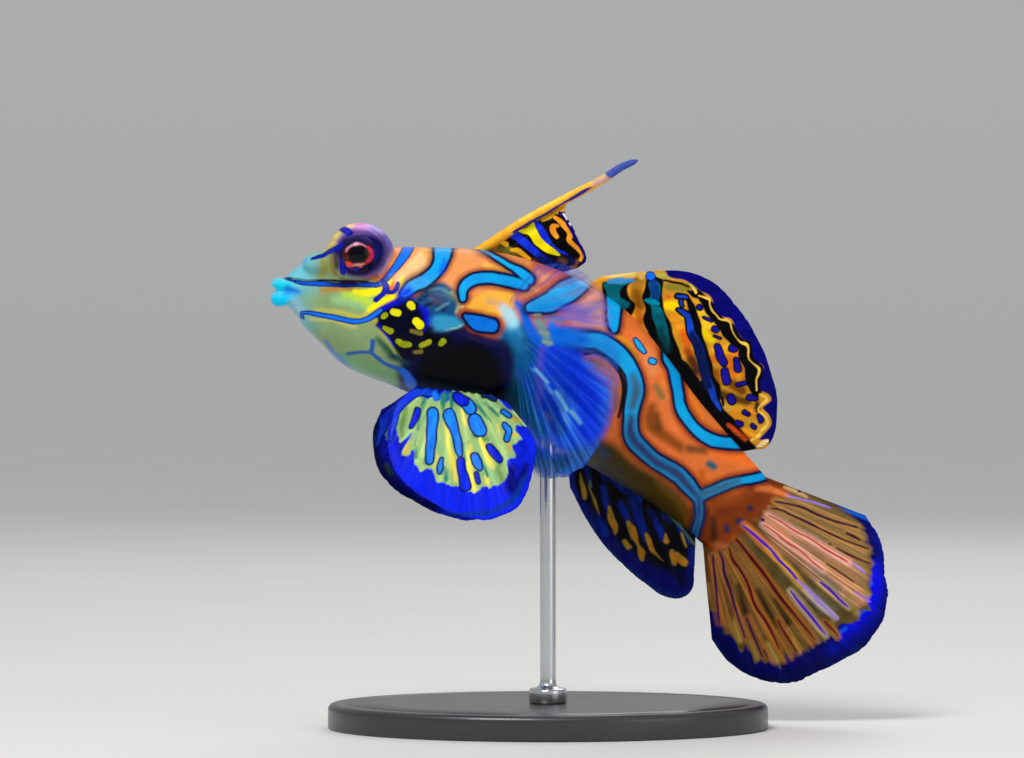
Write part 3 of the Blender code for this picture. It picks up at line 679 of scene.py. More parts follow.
print("skin marks")
skinZones = [
    # the back and the head
    ((240, 154, 88), 12, [(392, 238), (480, 240), (540, 262), (560, 285), (520, 290), (470, 300), (420, 290),
        (396, 275)]),
    ((252, 192, 74), 3, [(486, 264, 4), (500, 270, 6), (514, 277, 5)]),
    ((192, 92, 66), 4, [(536, 264, 8), (556, 270, 10), (575, 274, 8)]),
    ((134, 162, 112), 6, [(250, 236), (332, 236), (345, 264), (380, 286), (386, 300), (374, 318), (386, 336),
        (402, 354), (414, 374), (412, 408), (300, 404), (250, 320)]),
    ((108, 198, 214), 16, [(250, 256), (312, 252), (314, 284), (300, 300), (312, 326), (290, 340),
        (250, 330)]),
    ((60, 166, 150), 7, [(340, 362, 12), (370, 384, 14), (400, 392, 14)]),
    ((112, 166, 108), 6, [(352, 362, 8), (376, 368, 10), (396, 377, 8)]),
    ((84, 176, 238), 4, [(286, 272, 8), (294, 264, 7), (304, 259, 5)]),
    ((6, 224, 255), 5, [(268, 286, 12), (286, 287, 10)]),
    ((6, 206, 255), 5, [(266, 300, 16), (287, 300, 13)]),
    ((150, 196, 222), 5, [(293, 304, 8), (301, 311, 7)]),
    ((26, 136, 236), 4, [(287, 291, 8), (297, 293, 5)]),
    ((150, 200, 134), 5, [(334, 300, 7), (350, 302, 12), (366, 304, 10)]),
    ((190, 222, 66), 5, [(346, 295, 8), (362, 297, 11), (372, 303, 9)]),
    ((190, 130, 48), 3, [(322, 289.5, 3), (338, 289.6, 5.4), (352, 289, 4)]),
    ((196, 192, 78), 3, [(316, 309, 3), (340, 313.4, 4), (360, 315.4, 4), (371, 311, 4)]),
    ((196, 192, 110), 3, [(312, 318, 3), (336, 322, 3), (356, 326, 3)]),
    ((254, 238, 4), 1.8, [(354, 291, 5), (366, 291.3, 7.5), (378, 291, 7)], [(370, 309, 5), (376, 305.5, 6.5),
        (386, 300.5, 6.6), (394, 296, 6.6), (399.4, 288.5, 6.4), (401.4, 281, 6)]),
    ((244, 200, 138), 3, [(394, 280), (402, 268), (416, 254), (430, 246), (432, 262), (420, 274), (409, 281),
        (402, 287)]),
    ((240, 166, 78), 4, [(424, 248, 8), (428, 260, 6)], [(414, 276, 3), (407, 283, 3)]),
    ((252, 240, 20), 1.6, [(387.6, 283.6, 6.4), (390, 280, 5)], [(400, 287, 4), (404, 277, 3.5)]),
    ((146, 148, 68), 4, [(322, 262, 7), (325, 270, 8), (322, 276, 6)]),
    ((158, 124, 36), 2.5, [(330, 256, 3), (331, 266, 3), (336, 275, 3)]),
    ((214, 190, 84), 4, [(322, 248), (328, 238), (338, 230), (346, 234), (343, 242), (334, 247), (324, 251)]),
    ((190, 170, 204), 2.5, [(320, 247, 3), (326, 239, 3), (334, 232.5, 3)]),
    # the eye's mound
    ((108, 80, 160), 3.5, [(356, 250, 52), (365, 250, 56)]),
    ((214, 196, 96), 3, [(336, 238, 6), (340, 234, 5)], [(331, 246, 5), (334, 243, 5)]),
    ((250, 204, 166), 2.5, [(350, 227, 5), (356, 225, 4)]),
    ((216, 150, 218), 3, [(358, 225.5, 6), (369, 225, 6)]),
    ((168, 142, 228), 3, [(372, 226.5, 6), (382, 232, 6)]),
    ((98, 108, 206), 3, [(386, 237, 5), (389.5, 246, 4)]),
    ((112, 98, 156), 2.5, [(389.6, 252, 3), (387, 264, 4), (380, 273, 4)]),
    ((8, 8, 84), 3.5, [(356, 254, 39), (365, 254, 41)], [(334, 252, 6), (342, 256, 9)]),
    ((10, 16, 52), 4, [(352, 270, 8), (366, 271, 8), (378, 262, 7)]),
    ((58, 66, 42), 3, [(334, 256, 4), (336, 266, 6)]),
    ((150, 128, 60), 1.6, [(331, 257, 1.6), (332.6, 267, 2), (338, 276, 2)]),
    ((120, 98, 84), 1.8, [(342, 279, 2.4), (352, 279.6, 2.6), (366, 279.6, 2.6), (377, 277, 2.6)]),
    ((204, 152, 160), 2, [(380, 275.5, 2.6), (387, 267, 2.6), (391, 256, 2.6), (393, 248, 2.4)]),
    ((244, 150, 82), 2, [(397, 247, 5), (395, 257, 5), (391, 265, 3)]),
    # the dark cheek patch, and painted shadow on the belly behind it
    ((4, 84, 130), 7, [(502, 330), (520, 322), (538, 330), (542, 360), (538, 400), (534, 446), (512, 446),
        (498, 430), (496, 400), (496, 350)]),
    # painted shadow: the belly under the head is darkened to navy, and to black in the middle
    ((5, 9, 62), 5, [(402, 354), (428, 332), (444, 329), (466, 327), (472, 337), (500, 340), (512, 352),
        (512, 400), (470, 420), (406, 404)]),
    ((0, 0, 5), 8, [(416, 364), (438, 348), (468, 342), (492, 350), (504, 374), (502, 412), (430, 414)]),
    ((34, 84, 60), 4, [(377, 341, 5), (387, 350, 8), (394, 357, 6)]),
    ((14, 56, 74), 5, [(392, 357, 7), (404, 361, 7)]),
    ((2, 2, 28), 1.2, [(373, 315), (380, 308.6), (390, 303), (399, 297), (408, 296), (416, 302), (425, 306),
        (430, 315), (431.6, 325), (436, 332), (446, 334), (452, 342), (444, 352), (420, 358), (404, 359),
        (395, 351), (389, 343), (382.6, 334), (375.6, 327.6), (377, 322)]),
    ((8, 16, 205), 3, [(377, 317, 4), (384, 309.6, 5), (394, 303.6, 5), (403, 298, 7), (411, 298, 6)],
        [(413, 299, 5), (422, 306, 8), (427, 314, 10), (428, 322, 8), (424, 330, 5)],
        [(379.4, 327, 3), (386.4, 337, 3), (392, 346, 2)]),
    # painted shade: the patch's lower right darkens to black where the belly's shadow begins
    ((2, 2, 14), 4, [(429, 335, 8), (446, 343, 12), (424, 354, 10)]),
    ((170, 178, 46), 1.4, [(376.6, 330, 1.6), (384.6, 338, 2.6), (390, 346.4, 2.6), (394, 353, 1.6)],
        [(375.4, 321.6, 4.4), (376.4, 321.4, 4.4)]),
    # the gill cover's free edge
    ((10, 74, 122), 3.5, [(412, 300), (420, 292), (432, 284), (444, 282), (453, 290), (459, 298), (462, 306),
        (459, 314), (467, 321), (463, 328), (436, 332), (430, 322), (426, 308)]),
    ((2, 46, 118), 5, [(434, 301, 8), (442, 306, 8)]),
    ((82, 122, 122), 4, [(444, 291, 5), (452, 297, 5)]),
    ((178, 180, 132), 2, [(451, 291.5, 2.5), (456.4, 297, 3), (459.4, 304, 3), (457.4, 311, 2)]),
    ((2, 20, 60), 2, [(418, 300, 2), (428, 296, 3), (440, 300, 3), (446, 308, 2)],
        [(424, 306, 3), (434, 304, 5), (444, 310, 3)], [(430, 329, 3), (444, 326, 2)]),
    ((90, 150, 170), 2, [(430, 291, 1.5), (440, 289, 1.8), (448, 293, 1.5)],
        [(436, 311, 1.6), (448, 303, 1.6)]),
    ((4, 104, 204), 4, [(434, 321, 7), (446, 320, 8), (456, 319, 5)]),
    ((50, 150, 195), 3, [(434, 318), (446, 315), (458, 317), (466, 324), (455, 328), (438, 330)]),
    ((154, 226, 236), 1, [(446, 328.8, 1), (456, 328, 1.8), (463, 325.6, 1.6)]),
    ((228, 228, 134), 1.1, [(462.4, 305.4, 2.6), (463.6, 305.8, 2.6)]),
    # painted shadow: a dark line under the gill cover's free edge
    ((2, 8, 46), 2, [(436, 333, 2), (450, 331.6, 2.4), (463, 329, 1.6)]),
    # beside the base of the fin
    ((250, 180, 62), 2, [(466, 305), (476, 297), (490, 291), (512, 291), (514, 304), (506, 312), (498, 316),
        (484, 315), (474, 311)]),
    ((212, 162, 116), 4, [(488, 302, 5), (500, 303, 6)]),
    # painted shadow: a dark strip below the gold patch, where the belly's shadow begins
    ((20, 20, 70), 3, [(460, 334, 6), (474, 337, 8), (490, 340, 8), (502, 343, 6)]),
    ((64, 160, 212), 5, [(514, 328, 12), (518, 334, 10)]),
    # painted highlight: pale, whitish light on the fleshy base of the pectoral fin
    ((150, 214, 234), 4, [(508, 314, 12), (514, 324, 11)]),
    ((176, 214, 226), 4, [(502, 307, 8), (508, 313, 8), (511, 319, 6)]),
    ((24, 112, 168), 6, [(516, 337, 10), (521, 348, 12)]),
    ((2, 92, 136), 8, [(525, 360, 13), (525, 376, 14)]),
    ((2, 62, 80), 9, [(521, 388, 15), (514, 402, 14)]),
    ((4, 26, 46), 8, [(506, 420, 14), (520, 430, 12)]),
    ((6, 62, 222), 10, [(534, 332), (560, 330), (604, 336), (606, 352), (587, 354), (600, 370), (611, 400),
        (604, 430), (584, 470), (550, 470), (532, 430), (538, 360)]),
    ((226, 152, 124), 4, [(551, 301), (584, 292), (604, 289), (607, 328), (590, 330), (566, 319)]),
    ((150, 118, 168), 5, [(566, 313, 5), (584, 312, 7), (597, 303, 5)]),
    ((234, 166, 104), 2, [(600, 328, 3), (606, 332, 3)]),
    ((226, 118, 50), 3, [(528, 294, 4), (545, 284, 8), (562, 276, 6)]),
    ((250, 176, 62), 3, [(525, 295, 4), (534, 289, 5)]),
    ((0, 106, 228), 2.5, [(516, 303, 6), (523, 312, 9), (530, 326, 10), (536, 338, 10), (552, 338, 12),
        (572, 340, 14), (598, 343, 16)]),
    ((118, 136, 176), 4, [(549, 317, 7), (562, 321, 7)]),
    ((0, 92, 220), 4, [(548, 331, 8), (566, 331.5, 8), (590, 330.5, 6)]),
    ((0, 124, 246), 3, [(551, 324, 6), (555, 330, 8)]),
    ((112, 160, 150), 3, [(539.5, 320, 7), (543, 331, 8), (548, 342, 7)]),
    ((232, 190, 110), 2.5, [(590, 278.6, 4), (606, 280.6, 5), (620, 286, 3)]),
    # the side behind the fin
    ((180, 110, 60), 3, [(583, 358), (600, 358), (612, 368), (619, 382), (621, 396), (618, 410), (613, 412),
        (605, 392), (595, 376), (584, 366)]),
    ((150, 108, 40), 3, [(588, 360, 5), (598, 364, 6)]),
    ((150, 80, 80), 3, [(615, 396, 5), (613, 410, 6)]),
    ((236, 120, 54), 5, [(612, 300), (660, 320), (664, 350), (672, 372), (676, 400), (684, 430), (716, 446),
        (752, 448), (768, 470), (740, 484), (706, 494), (690, 470), (655, 452), (645, 430), (648, 390),
        (640, 364), (622, 340)]),
    ((255, 176, 30), 2, [(617, 336, 5), (624, 343, 7), (632, 351, 7), (638, 359, 5)]),
    ((240, 142, 84), 4, [(646, 352, 9), (654, 370, 11)]),
    ((132, 112, 62), 4, [(656, 388, 6), (661, 396, 7)]),
    ((248, 144, 58), 3, [(666, 383, 4), (669, 391, 4), (668, 397, 3)]),
    ((150, 74, 18), 5, [(652, 408, 8), (652, 424, 12), (664, 436, 12), (680, 446, 10)]),
    ((96, 54, 18), 5, [(657, 416, 5), (660, 428, 6)]),
    ((129, 74, 34), 4, [(690, 448, 9), (704, 452, 7)]),
    ((250, 118, 40), 4, [(708, 450, 4), (722, 454, 6), (744, 460, 10), (754, 466, 6)]),
    ((206, 94, 16), 4, [(702, 474, 7), (707, 488, 5)]),
    ((236, 128, 56), 3, [(690, 378, 6), (696, 396, 8), (706, 414, 9), (722, 426, 8)]),
    ((255, 130, 34), 2, [(688, 384, 2), (693, 402, 3), (704, 420, 3)]),
    # painted shade: a grey-brown strip along the body's shaded edge
    ((152, 104, 72), 3, [(697, 386, 4), (704, 398, 5)]),
    # painted shade: the lower flank behind the band is darkened to olive brown
    ((66, 52, 14), 7, [(596, 440), (622, 452), (648, 470), (674, 488), (690, 508), (696, 540), (690, 560),
        (650, 530), (600, 490), (580, 490), (556, 474)]),
    ((52, 66, 92), 6, [(598, 444, 8), (604, 456, 8)]),
    ((100, 70, 18), 5, [(660, 484, 7), (680, 504, 9), (689, 524, 7)]),
    ((22, 22, 12), 4, [(598, 468, 6), (640, 497, 6), (690, 545, 5)]),
    ((158, 70, 18), 6, [(702, 512), (720, 496), (775, 484), (810, 500), (748, 570), (696, 566)]),
    ((122, 48, 8), 5, [(722, 512, 9), (738, 508, 7)], [(706, 526, 6), (706, 546, 6)]),
    ((204, 112, 72), 4, [(762, 488, 5), (776, 492, 6)], [(714, 542, 5), (726, 548, 6)]),
]


def wider(paths, more):
    # strokes a little wider, for the soft edges beside a line
    return [[(x, y, width + more) for x, y, width in path] for path in paths]


maroonRays = [
    [(736, 539, 2), (742, 546, 2.8), (752, 559, 3.3), (765, 575, 3.3), (780, 596, 3), (792, 611, 2.8),
        (803, 625, 2.4), (815, 640, 1.6)],
    [(729, 548, 2), (733, 560, 2.8), (740, 570, 3), (748, 585, 3), (755, 605, 2.8), (765, 620, 2.6),
        (772, 633, 2.3), (779, 648, 1.6)],
    [(778, 620, 2), (783, 630, 2.5), (790, 641, 2.4), (797, 652, 1.6)],
    [(825, 622, 2), (833, 630, 2.2), (838, 636, 1.6)],
]
upperRays = [
    [(775, 501, 2), (790, 504, 2.5), (803, 508, 2.5), (815, 514, 2.5), (830, 520, 2.5), (845, 524, 2.3),
        (857, 527, 1.8)],
    [(771, 508, 1.8), (782, 510, 2.3), (790, 514, 2.5), (805, 521, 2.5), (818, 528, 2.4), (835, 536, 2.4),
        (850, 542, 2.3), (868, 549, 1.8)],
    [(837, 548, 1.8), (850, 555, 2.2), (860, 560, 2), (870, 564, 1.6)],
    [(846, 533, 2.4), (853, 536, 2.8), (860, 540, 2)],
    [(829.4, 544, 2.2), (830.6, 544.2, 2.2)],
    [(827, 564, 1.8), (835, 569, 2.2), (845, 576, 2), (853, 582, 1.6)],
]
darkRays = [
    [(719, 550, 2), (723, 560, 2.8), (724, 572, 3), (730, 590, 3), (735, 607, 2.6), (742, 628, 2.2),
        (745, 638, 1.6)],
    [(747, 618, 2), (752, 632, 2.4), (757, 645, 2.2), (762, 656, 1.6)],
    [(764, 650, 1.8), (768, 657, 1.6)],
    [(713, 555, 2), (714, 570, 2.5), (716, 590, 2.5), (718, 608, 2.2), (720, 622, 1.6)],
]
redRays = [
    [(768, 515, 1.6), (780, 521, 2), (795, 531, 2.1), (810, 539, 2), (825, 549, 2), (840, 557, 1.8),
        (848, 562, 1.5)],
    [(764, 525, 1.6), (775, 532, 2), (785, 541, 2.1), (800, 551, 2), (812, 562, 1.8), (822, 570, 1.4)],
]
violetRays = [
    [(742, 525, 2), (752, 533, 2.8), (760, 540, 3), (770, 549, 3), (780, 561, 3), (790, 571, 3),
        (797, 580, 2.4)],
    [(820, 582, 2), (830, 590, 3), (840, 600, 2.8), (848, 607, 1.8)],
    [(791, 591, 2), (800, 603, 3.4), (810, 615, 3.4), (820, 628, 2.8), (826, 635, 1.8)],
]
lavenderRays = [
    [(797, 580, 2), (805, 587, 2.8), (815, 597, 2.8), (825, 607, 2.6), (838, 619, 2)],
    [(853, 563, 1.6), (860, 569, 1.8), (865, 574, 1.4)],
    [(785, 495, 1.4), (800, 499, 1.8), (815, 503, 2), (830, 508, 1.6)],
    [(854, 592, 1.6), (862, 597, 1.8), (870, 602, 1.4)],
]
rootLayers = [
    paint("roots", (152, 68, 16), deep=(120, 48, 8), cloud=3, soft=16, marks=[
        [(700, 520, 24), (716, 532, 20), (738, 520, 24), (760, 500, 24), (776, 486, 18)]]),
    paint("rootTop", (226, 118, 58), soft=5, marks=[[(758, 487, 6), (776, 491, 7), (786, 494, 5)]]),
    paint("rootCream", (230, 180, 120), soft=2.4, marks=[[(784, 487, 3), (796, 492, 4), (806, 497, 2.4)]]),
    paint("rootShade", (74, 34, 8), soft=6, marks=[
        [(713, 520, 6), (714, 538, 7)], [(704, 545, 6), (708, 580, 4)]]),
]
tailLines = [
    paint("brownEdges", (176, 98, 36), soft=6, fine=0.5, marks=wider(maroonRays + darkRays, 4)),
    paint("goldEdges", (196, 140, 66), soft=6, fine=0.5, marks=wider(upperRays, 3.6)),
    paint("orangeEdges", (250, 144, 66), soft=6, fine=0.4, marks=[
        [(744, 524, 5), (760, 540, 8), (776, 556, 7)], [(764, 519, 3), (776, 527, 5), (788, 537, 4)]]),
    paint("pinkEdges", (250, 186, 172), soft=7, fine=0.45, marks=wider(redRays, 5)),
    paint("yellowEdges", (255, 190, 50), soft=5, fine=0.5, marks=[
        [(768, 548, 5), (785, 566, 8), (800, 584, 7), (812, 596, 4)]]),
    paint("paleEdges", (226, 206, 214), soft=5, fine=0.6, marks=[
        [(806, 590, 5), (820, 604, 7), (836, 618, 4)]]),
    paint("creamEdges", (206, 176, 130), soft=6, fine=0.6, marks=wider(violetRays[1:], 3.6)),
    paint("maroons", (92, 8, 12), deep=(60, 4, 28), soft=1.6, marks=maroonRays),
    paint("uppers", (66, 16, 26), deep=(30, 18, 66), soft=1.6, marks=upperRays),
    paint("inks", (30, 4, 50), deep=(58, 26, 84), soft=1.6, marks=darkRays),
    paint("reds", (178, 52, 54), soft=1.6, marks=redRays),
    paint("violets", (54, 10, 176), deep=(84, 32, 196), soft=1.6, marks=violetRays),
    paint("lavenders", (164, 130, 236), soft=1.2, marks=lavenderRays),
]

navyEdge = {"rim": ((5, 12, 62), 3.0), "soft": 1.7, "halo": ((0.3, 0.14, 0.1, 1), 6.0, 0.75)}
skinLayers = [
    *rootLayers,
    paint("bands", (2, 190, 250), deep=(8, 136, 222), cloud=3.2, **navyEdge, marks=[
        [(404, 294, 13), (413, 286, 16), (425, 280, 18), (435, 271, 18), (441, 260, 19), (443, 248, 22),
        (444, 234, 24)], [(462.5, 298, 11), (463, 288, 14), (473, 280, 16), (488, 278, 15), (502, 279, 15.5),
        (514, 282.5, 16), (524, 285.5, 14)], [(474, 244, 7), (482, 249.5, 8), (496, 258, 8.5),
        (512, 267, 10.5), (522, 273.5, 14), (529, 279, 15)], [(530, 308, 14), (540, 305, 20),
        (552, 300.5, 25), (566, 292, 26), (578, 285.5, 22), (587, 282.5, 14)], [(609, 294, 6), (613, 298, 19),
        (614, 310, 19), (614, 322, 16), (614, 329, 12)], [(572, 338, 14), (586, 340, 20), (598, 341.5, 21),
        (611, 348, 22), (623, 358, 21), (632, 372, 20), (635, 386, 21), (634, 400, 20), (631, 414, 19),
        (630, 428, 19), (633, 439, 19), (642, 450, 19), (653, 458.5, 19), (666, 467, 19), (678, 475, 19.5),
        (688, 485, 19), (698, 497, 17)], [(700, 497, 13), (716, 489, 14), (739, 481, 13), (756, 478, 13),
        (774, 474, 13)], [(699, 500, 13), (699, 516, 12), (696, 530, 12), (693, 546, 12)],
        [(663, 344, 7), (667, 358, 13), (674, 368, 15), (677, 388, 14.5), (681, 407, 15), (692, 426, 15),
        (708, 438, 16), (724, 443, 16), (742, 443, 15)]]),
    paint("blend", (2, 104, 232), deep=(2, 130, 240), cloud=2, soft=9, marks=[
        [(558, 337, 13), (572, 338, 17), (581, 339, 14)]]),
    # painted shade: the lower, rear run of the band is darkened to slate blue
    paint("shadedBand", (30, 52, 104), deep=(52, 76, 128), cloud=1.5, soft=8, marks=[
        [(631, 418, 9), (630, 430, 11), (636, 443, 11), (653, 459, 11), (666, 467, 11), (678, 475, 11),
        (690, 488, 10), (699, 498, 8)], [(699, 498, 8), (698, 520, 8), (694, 540, 8)]]),
    paint("greys", (66, 92, 116), deep=(44, 112, 150), cloud=1.2, soft=7, marks=[
        [(633, 376, 6), (636, 390, 9), (633, 406, 9)], [(704, 494, 7), (720, 487.5, 7), (738, 481, 6)]]),
    paint("blueBand", (8, 100, 212), deep=(4, 132, 236), cloud=3, **navyEdge, marks=[
        [(466, 316, 9), (478, 323, 20), (492, 326, 18)]]),
    paint("glow", (4, 56, 232), soft=8, marks=[
        [(402, 295, 8), (408, 291, 8)], [(444, 262, 3), (441, 272, 3)]]),
    paint("lines", (12, 98, 238), deep=(26, 128, 246), cloud=2, rim=((8, 20, 112), 1.2), marks=[
        [(376, 285, 5), (383, 281.5, 6.6), (390, 274, 7), (397, 266, 8.4), (403, 257, 10.4), (408, 248, 11.6),
        (411, 240, 12.4)], [(302, 313, 4), (302, 316, 4), (304, 318.4, 2.4)], [(303, 313, 4), (312, 312.6, 5),
        (330, 317, 5.4), (345, 319.6, 5.6), (357, 321, 6), (367, 319.6, 6.4), (374, 315.6, 6.6),
        (381, 310, 6.4)]]),
    paint("mouthLine", (10, 62, 208), deep=(16, 92, 232), cloud=2, rim=((6, 12, 80), 1.1), marks=[
        [(284, 278.5, 2.2), (302, 282.5, 5), (320, 284, 5.8), (338, 284.6, 5.2), (358, 285, 4.8),
        (378, 284.6, 5)]]),
    paint("jawLines", (40, 92, 172), soft=1.8, marks=[
        [(347, 353.4, 2.4), (358, 352.8, 3), (370, 353, 3.6), (378, 358, 4), (386, 363.6, 4.2),
        (396, 367.4, 5), (403, 371, 6)], [(371, 352, 4.6), (372.4, 341.6, 5.4)]]),
    paint("jawCorner", (28, 100, 212), soft=3, marks=[[(402, 371, 5), (407, 377, 9), (411, 385, 10)]]),
    # painted shade: a soft blue-grey line along the jaw's lower edge
    paint("jawEdgeShade", (74, 116, 196), soft=3, marks=[
        [(325, 341, 3), (330, 348, 4), (337, 356, 4.6), (345, 363.6, 4), (353, 369.6, 2)]]),
    paint("lineShade", (6, 6, 82), soft=4, marks=[
        [(330, 284, 2), (342, 284, 5), (356, 284, 4)], [(382, 282, 2), (387, 278, 3)]]),
    paint("inkLine", (3, 4, 34), soft=1.4, marks=[
        [(284, 277.4, 1), (300, 279, 2), (320, 280.6, 2.6), (335, 280.6, 3.2), (350, 281.4, 3),
        (368, 282, 1.6)]]),
    paint("scrawl", (4, 8, 128), core=((8, 28, 196), 3.2), marks=[
        [(384, 281, 5), (385.6, 288, 7.4), (382, 293.6, 5.6), (375.6, 300, 6)], [(386, 291.4, 4.6),
        (392.6, 292.4, 4.8), (396.4, 288, 5), (397.6, 284, 4.4)], [(311, 258.6, 2), (317, 256.6, 4),
        (323, 255.4, 5), (331, 250.8, 4.8), (340, 247, 5.4), (350, 242.6, 7)],
        [(341.5, 228.6, 5), (346, 229.8, 6.4), (350.5, 233, 5.4)], [(341.6, 264, 4.6), (343.4, 272, 5)]]),
    paint("bright", (246, 240, 18), deep=(212, 206, 26), cloud=1, rim=((2, 2, 18), 1.4), soft=1.2, marks=[
        [(410, 305, 10), (412.4, 307.4, 9.6)], [(393.4, 311.4, 9.6), (398.4, 312.6, 10)],
        [(416.6, 321.6, 10.6), (420, 325, 11.4)]]),
    paint("bites", (3, 3, 30), marks=[[(417, 304.4, 3.6), (416, 307.6, 2.6)]]),
    paint("olives", (172, 172, 14), deep=(128, 150, 16), cloud=1, rim=((2, 2, 18), 1.4), soft=1.2, marks=[
        [(383.6, 316.8, 8.4), (386, 314.8, 9)], [(384.6, 327.4, 7.6), (390, 330.8, 9.2)],
        [(397.6, 341.6, 8.2), (402.6, 344.4, 9.6), (408.6, 344.6, 9)], [(421, 345, 8.6), (429, 342, 8.8)],
        [(440.4, 344.6, 8.4), (443.4, 341.4, 8.8)]]),
    paint("dim", (118, 106, 34), soft=1.6, marks=[
        [(414.6, 352, 4), (420.6, 351.2, 4.6)], [(411.4, 331.4, 4.4), (421, 333, 5)]]),
    paint("dashes", (150, 178, 112), soft=2, marks=[
        [(534, 315.5, 2), (540, 315, 3)], [(536, 323, 3), (543, 324, 4)], [(540, 331.5, 3), (547, 333, 4)],
        [(543, 341, 3), (551, 344, 3)]]),
    paint("beads", (30, 178, 236), rim=((14, 50, 120), 1.5), marks=[
        [(634.5, 340, 6), (639, 346, 8), (644, 352, 6)], [(651.5, 361, 8), (653, 362, 8)]]),
    paint("crescent", (5, 5, 14), soft=1.5, marks=[
        [(584, 353.4, 2.5), (598, 353.5, 3.6), (611, 361.5, 4.2), (619.5, 373, 4.4), (623.6, 387, 4.6),
        (623, 402, 4.2), (618, 417, 3.4)]]),
    paint("blurs", (66, 98, 112), soft=4, marks=[[(709, 464, 7), (714, 467, 7)]]),
    paint("stains", (56, 28, 104), deep=(60, 60, 90), rim=((122, 50, 30), 1.4), marks=[
        [(750, 507.5, 7), (751, 508.5, 7)], [(738.5, 520.5, 8), (743, 522, 8)],
        [(726, 526.5, 6.5), (726.5, 530.5, 6.5)], [(762, 520, 4), (762.5, 520, 4)],
        [(786, 484, 3.5), (786.5, 484, 3.5)]]),
    *tailLines,
]


skinSpots = carveSkin()
places = finishSkin()
zoneColour(skin, "ground", wander(places, 1.2, 14), rgb(222, 112, 46), skinZones)
paintMarks(skin, wander(places, 0.5, 12), skinLayers)
# the belly is paler, up to where the stem grows thin
underside = {"turn": (2.4, 3.1), "fade": (660, 560)}
below = softStep(*underside["turn"], np.abs(skinPlaces(skinSpots)[2]))
attribute(skin, "underside", below * softStep(*underside["fade"], places[:, 0]))


def skinMaterial():
    graph = Graph("skin")
    colour = paintedColour(graph, skinLayers, 0.9)
    colour = graph.mix(colour, rgb(160, 176, 196), graph.read("underside") * 0.35)
    clouds = graph.noise(1.8, 4.0)
    fine = graph.noise(0.22, 2.0)
    tint = graph.mix((0.66, 0.66, 0.7, 1), (1.25, 1.22, 1.18, 1), clouds * 0.7 + fine * 0.3)
    colour = graph.shade(colour, tint)
    rough = graph.noise(0.6) * 0.14 + 0.26
    height = graph.noise(0.4, 4.0) * 0.6 + fine * 0.4
    return graph.finish(colour, rough, graph.bump(height, 0.045, 0.7), **wetCoat)


dress(skin, skinMaterial(), "skin", "head", "trunk", "tail_stem")


# The eyes, painted in tenths of a millimetre across and down from where each looks
print("eyes")
iris = {"look": (-0.04, 1.0, -0.045), "scale": 1.14, "ground": rgb(10, 8, 60), "behind": 25.0}
irisZones = [
    ((24, 20, 130), 3, [(-14, 6, 5), (-8, 12, 5), (0, 14, 4)], [(14, -2, 5), (15, 5, 5)]),
    ((70, 50, 120), 5, [(-14, -16, 6), (0, -20, 7), (14, -14, 6)]),
    ((6, 6, 30), 4, [(12, 12, 8), (4, 17, 6)]),
]
irisLayers = [
    paint("violet", (40, 6, 130), soft=2.4, marks=[[(-6.4, 12.6, 3), (-3, 11.8, 2.6), (-1, 11, 1.6)]]),
    paint("ring", (100, 34, 12), deep=(52, 8, 20), cloud=0.5, rim=((34, 4, 26), 0.7), marks=[
        [(-3.4, 1.5, 20.4), (3.0, 0.9, 20.4)]]),
    paint("paleArc", (232, 158, 190), deep=(196, 112, 124), cloud=0.5, soft=1.5, marks=[
        [(-10.2, -2.4, 1), (-8.3, -5.4, 1.6), (-4.8, -7.9, 2.2), (-0.8, -8.9, 2.6), (3.6, -8.1, 2),
        (6.8, -6.2, 1)]]),
    paint("redArc", (176, 6, 24), deep=(228, 62, 92), cloud=0.4, soft=1.5, marks=[
        [(8.9, -6.2, 1.6), (11.5, -3, 3.2), (12, 0.6, 3.6), (10.6, 4.2, 3.2), (7.8, 6.9, 2.2),
        (5.2, 8.4, 1.4)]]),
    paint("lowArc", (236, 176, 180), deep=(206, 120, 96), cloud=0.4, soft=1.5, marks=[
        [(-4.6, 9.5, 1.4), (-0.4, 9.0, 2.4), (3.4, 8.7, 2.2), (5.6, 8, 1.2)]]),
    paint("ember", (255, 96, 52), deep=(232, 54, 70), cloud=0.5, soft=1.6, marks=[
        [(-10, 6.6, 1.2), (-7.6, 8.8, 3.6), (-5, 9.8, 1.8)], [(1.6, 11, 1.8), (3.4, 10.4, 1.6)]]),
    paint("pupil", (1, 3, 8), rim=((40, 4, 18), 0.8), marks=[[(-1.3, 0.1, 14.6), (1.3, -0.9, 14.6)]]),
]


def makeEye(name, side, node):
    ball = blob(ballCentre(side), np.full(3, eye["ball"] * mm), np.eye(3)[[0, 2, 1]], 60)
    obj = closedObject(name, *ball)
    spots = points(obj)
    ways = unit(spots - ballCentre(side))
    gaze = unit(np.array(iris["look"]) * (1, -side, 1))
    back = unit(np.cross(gaze, (0, 0, 1))) * side
    up = np.cross(back, gaze) * side
    across = ways @ (-back if back[0] < 0 else back)
    front = ways @ gaze > 0
    down = -(ways @ (up if up[2] > 0 else -up))
    flat = np.stack((across, down), axis=1) * (eye["ball"] * 10 / iris["scale"])
    flat[~front] = iris["behind"]
    zoneColour(obj, "ground", flat, iris["ground"], irisZones)
    paintMarks(obj, flat, irisLayers)
    graph = Graph(name)
    colour = paintedColour(graph, irisLayers, 1.5)
    colour = graph.shade(colour, graph.mix((0.7, 0.7, 0.7, 1), (1.2, 1.2, 1.2, 1), graph.noise(0.25)))
    rough = graph.noise(0.5) * 0.06 + 0.08
    material = graph.finish(colour, rough, graph.bump(graph.noise(0.3), 0.008, 0.5), Coat_Weight=0.2,
                            Coat_Roughness=0.03, Specular_IOR_Level=0.05)
    dress(obj, material, "eye", node)


makeEye("eyeLeft", 1, "eye_left")
makeEye("eyeRight", -1, "eye_right")

